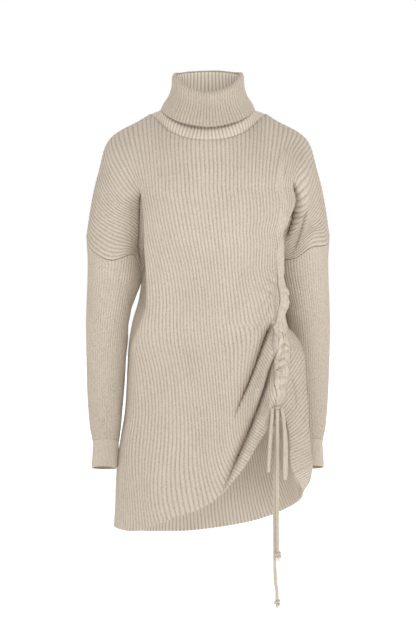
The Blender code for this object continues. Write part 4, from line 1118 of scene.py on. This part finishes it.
# ------------------------------------------------- the panels, made up
# With every seam's direction known, the two panels get their walls, their ribs,
# the grooves of their seams and the loose edge of the hem.
body_knit = knit("body_knit", yarn=(0.60, 0.527, 0.443), painted_hollow_shade=(0.33, 0.265, 0.205),
                 depth=0.8, stitch=0.3, flecks=0.5)
for k, name in enumerate(("front_panel", "back_panel")):
    mid, out = middle[k], facing[k]
    top = to_edge(mid, 1)
    dip = groove(top) + groove(to_edge(mid, 0), 0.5, 1.6) + groove(to_edge(mid, 0, True), 0.5, 1.6)
    hem_up = unit(mid[:, -2] - mid[:, -1])
    inset = unit(mid[:, 1] - mid[:, 0]) * 0.3
    for seam, beside in ((0, 1), (-1, -2)):
        mid[seam] += unit(mid[beside] - mid[seam]) * 0.3
    mid[:, 0] += inset
    mid = mid + out * dip[..., None]
    mid[:, -1] += 0.5 * np.cos(2 * np.pi * count)[:, None] * hem_up
    rib = RIB_HEIGHT * (0.35 + 0.65 * np.minimum(1, top / 7))
    rib = rib * (1 + 0.18 * uneven(dip.shape, (40, 14), 51 + k))
    if k == 0:  # the slanting ribs are flatter, and a little painted shade darkens them all over
        rib = rib * (1 - 0.5 * swung)
        painted_shades[0] = np.maximum(painted_shades[0], 0.09 * swung)
        front_cloth = mid, out, rib
    # the wrong side, seen inside, is painted paler: painted light
    piece = cloth(name, body_knit, mid, out, rib_places[k] + FINE, rib,
                  thick=WALL, course=4.2, flip=k == 1, painted_shading=painted_shades[k], reverse=-0.4)

# ------------------------------------------------------ drawstring casing
# A channel of plain knit sewn down the front along one rib, with the drawstring
# inside. The cord's pull crowds its lower half into deep gathers.
# Casing: height, half width, thickness, shift to the wearer's left.
CASING = (
    (-525, 5, 4.5, -2),
    (-518, 8.5, 5.5, 1.5),
    (-507, 10.5, 7, 5),
    (-492, 12, 8, 3.3),
    (-481, 15, 9.5, 3.4),
    (-464, 16.5, 10, 0),
    (-447, 16, 9.5, -5),
    (-433, 16, 9, -7.5),
    (-421, 14.5, 8.5, -7),
    (-404, 13, 8, -5),
    (-387, 13.5, 7, -3.4),
    (-370, 8.6, 5.5, 1),
    (-361, 9.5, 7, 3.6),
    (-340, 9.2, 8.5, 7),
    (-327, 8.5, 7.5, 6),
    (-312, 7.5, 5.5, 4),
    (-262, 8, 4.5, 2),
    (-250, 6.5, 4, 2.5),
    (-238, 7.5, 4, 3.5),
    (-190, 8, 4, 0),
    (-148, 8, 4, -5),
    (-120, 8, 4, -9),
    (-98, 7, 3.6, -10),
    (-86, 2.5, 3, -9),
)
GATHERS = (  # where the cord has bunched the channel: height, tilt, sag at the edges, depth
    (-262, 1, 0, 0.3), (-303, 3, 1, 0.25), (-334, -3, 2, 0.4), (-344, 5, 0, 0.3),
    (-358, -3, 2, 0.45), (-376, 3, 2, 0.25), (-416, -5, 10, 0.6), (-428, -3, 9, 0.3),
    (-443, -5, 13, 0.5), (-458, 2, 6, 0.3), (-476, -3, 5, 0.25), (-491, 3, 5, 0.45), (-512, 3, 3, 0.3),
)
casing_knit = knit("casing_knit", yarn=(0.61, 0.535, 0.45), painted_hollow_shade=(0.40, 0.33, 0.265),
                   depth=0.55, stitch=0.35, flecks=0.9)
CASING_COURSE = 3.6  # height of one stitch
CLEAR = 0.35  # between the channel and the panel's ribs
GATHER = 2.6  # half the height of one gather
mid, out, rib = front_cloth
heights = np.r_[-86, np.linspace(-88, -240, 50), np.linspace(-242, -524, 170), -525]
gathered = np.clip((-heights - 235) / 50, 0, 1)
casing_column = 4 * (FINE + CASING_FINE)
path = mid[casing_column]
down = np.interp(-heights, -path[:, 2], np.arange(len(path)))
half, high, shift = np.moveaxis(read(CASING, heights), -1, 0)
high = high * (0.25 + 0.45 * gathered)
# its section: across the channel, over the top and back under it, and the height there
top_side = np.linspace(-1, 1, 25)
aside = np.r_[top_side, np.linspace(0.8, -0.8, 9)]
raised = np.r_[1 - np.abs(top_side) ** 3, np.zeros(9)][:, None]
tall = np.ones((len(aside), len(heights)))
# painted shade, darkest at the foot of each gather
painted_shading = 0 * tall
for height, tilt, sag, deep in GATHERS:
    off = heights - height + (sag * aside**2 - tilt * aside)[:, None]
    tall -= deep * np.exp(-((off / GATHER) ** 2)) * gathered
    dark = 0.4 * deep * np.exp(-((2 * off / GATHER) ** 2)) * gathered
    painted_shading = np.maximum(painted_shading, dark * (raised > 0))
tall = np.maximum(tall, 0.3) + 0.09 * gathered * np.cos(aside * 3 * np.pi)[:, None]
grid = np.empty((*tall.shape, 3))
run_over = to_edge(mid, 0)
crown = 2 * np.abs(np.sin(np.pi * rib_places[0])) ** 0.8 - 1
for j, row in enumerate(down):
    i = min(int(row), mid.shape[1] - 2)
    f = row - i
    line, up, run, rise = (v[:, i] * (1 - f) + v[:, i + 1] * f for v in (mid, out, run_over, rib))
    places = np.arange(len(run))
    at = np.interp(run[casing_column] + shift[j] + aside * half[j], run, places)
    ribbed = np.interp(at, places, crown[:, i] * rise)
    lift = WALL / 2 + CLEAR + ribbed + (rise.max() - ribbed) * gathered[j]
    lift -= 0.9 * np.abs(aside) ** 6  # its edges are sewn down
    lift += (raised * tall)[:, j] * high[j]
    k = at.astype(int)
    f = (at - k)[:, None]
    grid[:, j] = line[k] * (1 - f) + line[k + 1] * f + unit(up)[k] * lift[:, None]
bulge = normals(grid, True)
bulge *= np.sign(np.sum(bulge * (grid - grid.mean(0)), -1).mean())
wrinkle = uneven(tall.shape, (4, 70), 61) * gathered * 0.9 * raised
grid += bulge * wrinkle[..., None]
courses = to_edge(grid, 1)[0] / CASING_COURSE
piece = pipe("drawstring_casing", grid, 5, courses, casing_knit, painted_shading, flip=True)
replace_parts(piece, "drawstring_casing")

# ------------------------------------------------------- light and floor
# Even studio light from all round with a soft key from above, on a pale floor.
world = bpy.data.worlds.new("studio")
world.use_nodes = True
background = world.node_tree.nodes["Background"]
background.inputs["Color"].default_value = (1, 1, 1, 1)
sky = Wire(world.node_tree)
rear = sky.node("ShaderNodeSeparateXYZ", None, {0: sky.node("ShaderNodeTexCoord")}, 1)
steps = {0: rear, 1: -0.1, 2: 0.6, 3: 0.55, 4: 1.0}  # brighter behind the garment than in front
sky.node("ShaderNodeMapRange", {"interpolation_type": "SMOOTHSTEP"}, steps).feed(background, "Strength")
bpy.context.scene.world = world
bpy.context.scene.view_settings.view_transform = "Standard"
key = bpy.data.objects.new("key", bpy.data.lights.new("key", "AREA"))
bpy.context.scene.collection.objects.link(key)
key.data.shape, key.data.size, key.data.energy = "DISK", 1.2, 23
key.location = (0.35, -2.2, 0.75)
key.rotation_euler = mathutils.Vector((0.35, -2.2, 1.1)).to_track_quat("Z", "Y").to_euler()
bpy.ops.mesh.primitive_plane_add(size=30, location=(0, 8, -1.02))
floor = bpy.context.object
floor.name = "floor"
plain = bpy.data.materials.new("floor")
plain.use_nodes = True
pale = plain.node_tree.nodes["Principled BSDF"].inputs
pale["Base Color"].default_value = (0.9, 0.9, 0.9, 1)
pale["Roughness"].default_value = 1
pale["Emission Color"].default_value = (1, 1, 1, 1)
pale["Emission Strength"].default_value = 0.6
floor.data.materials.append(plain)
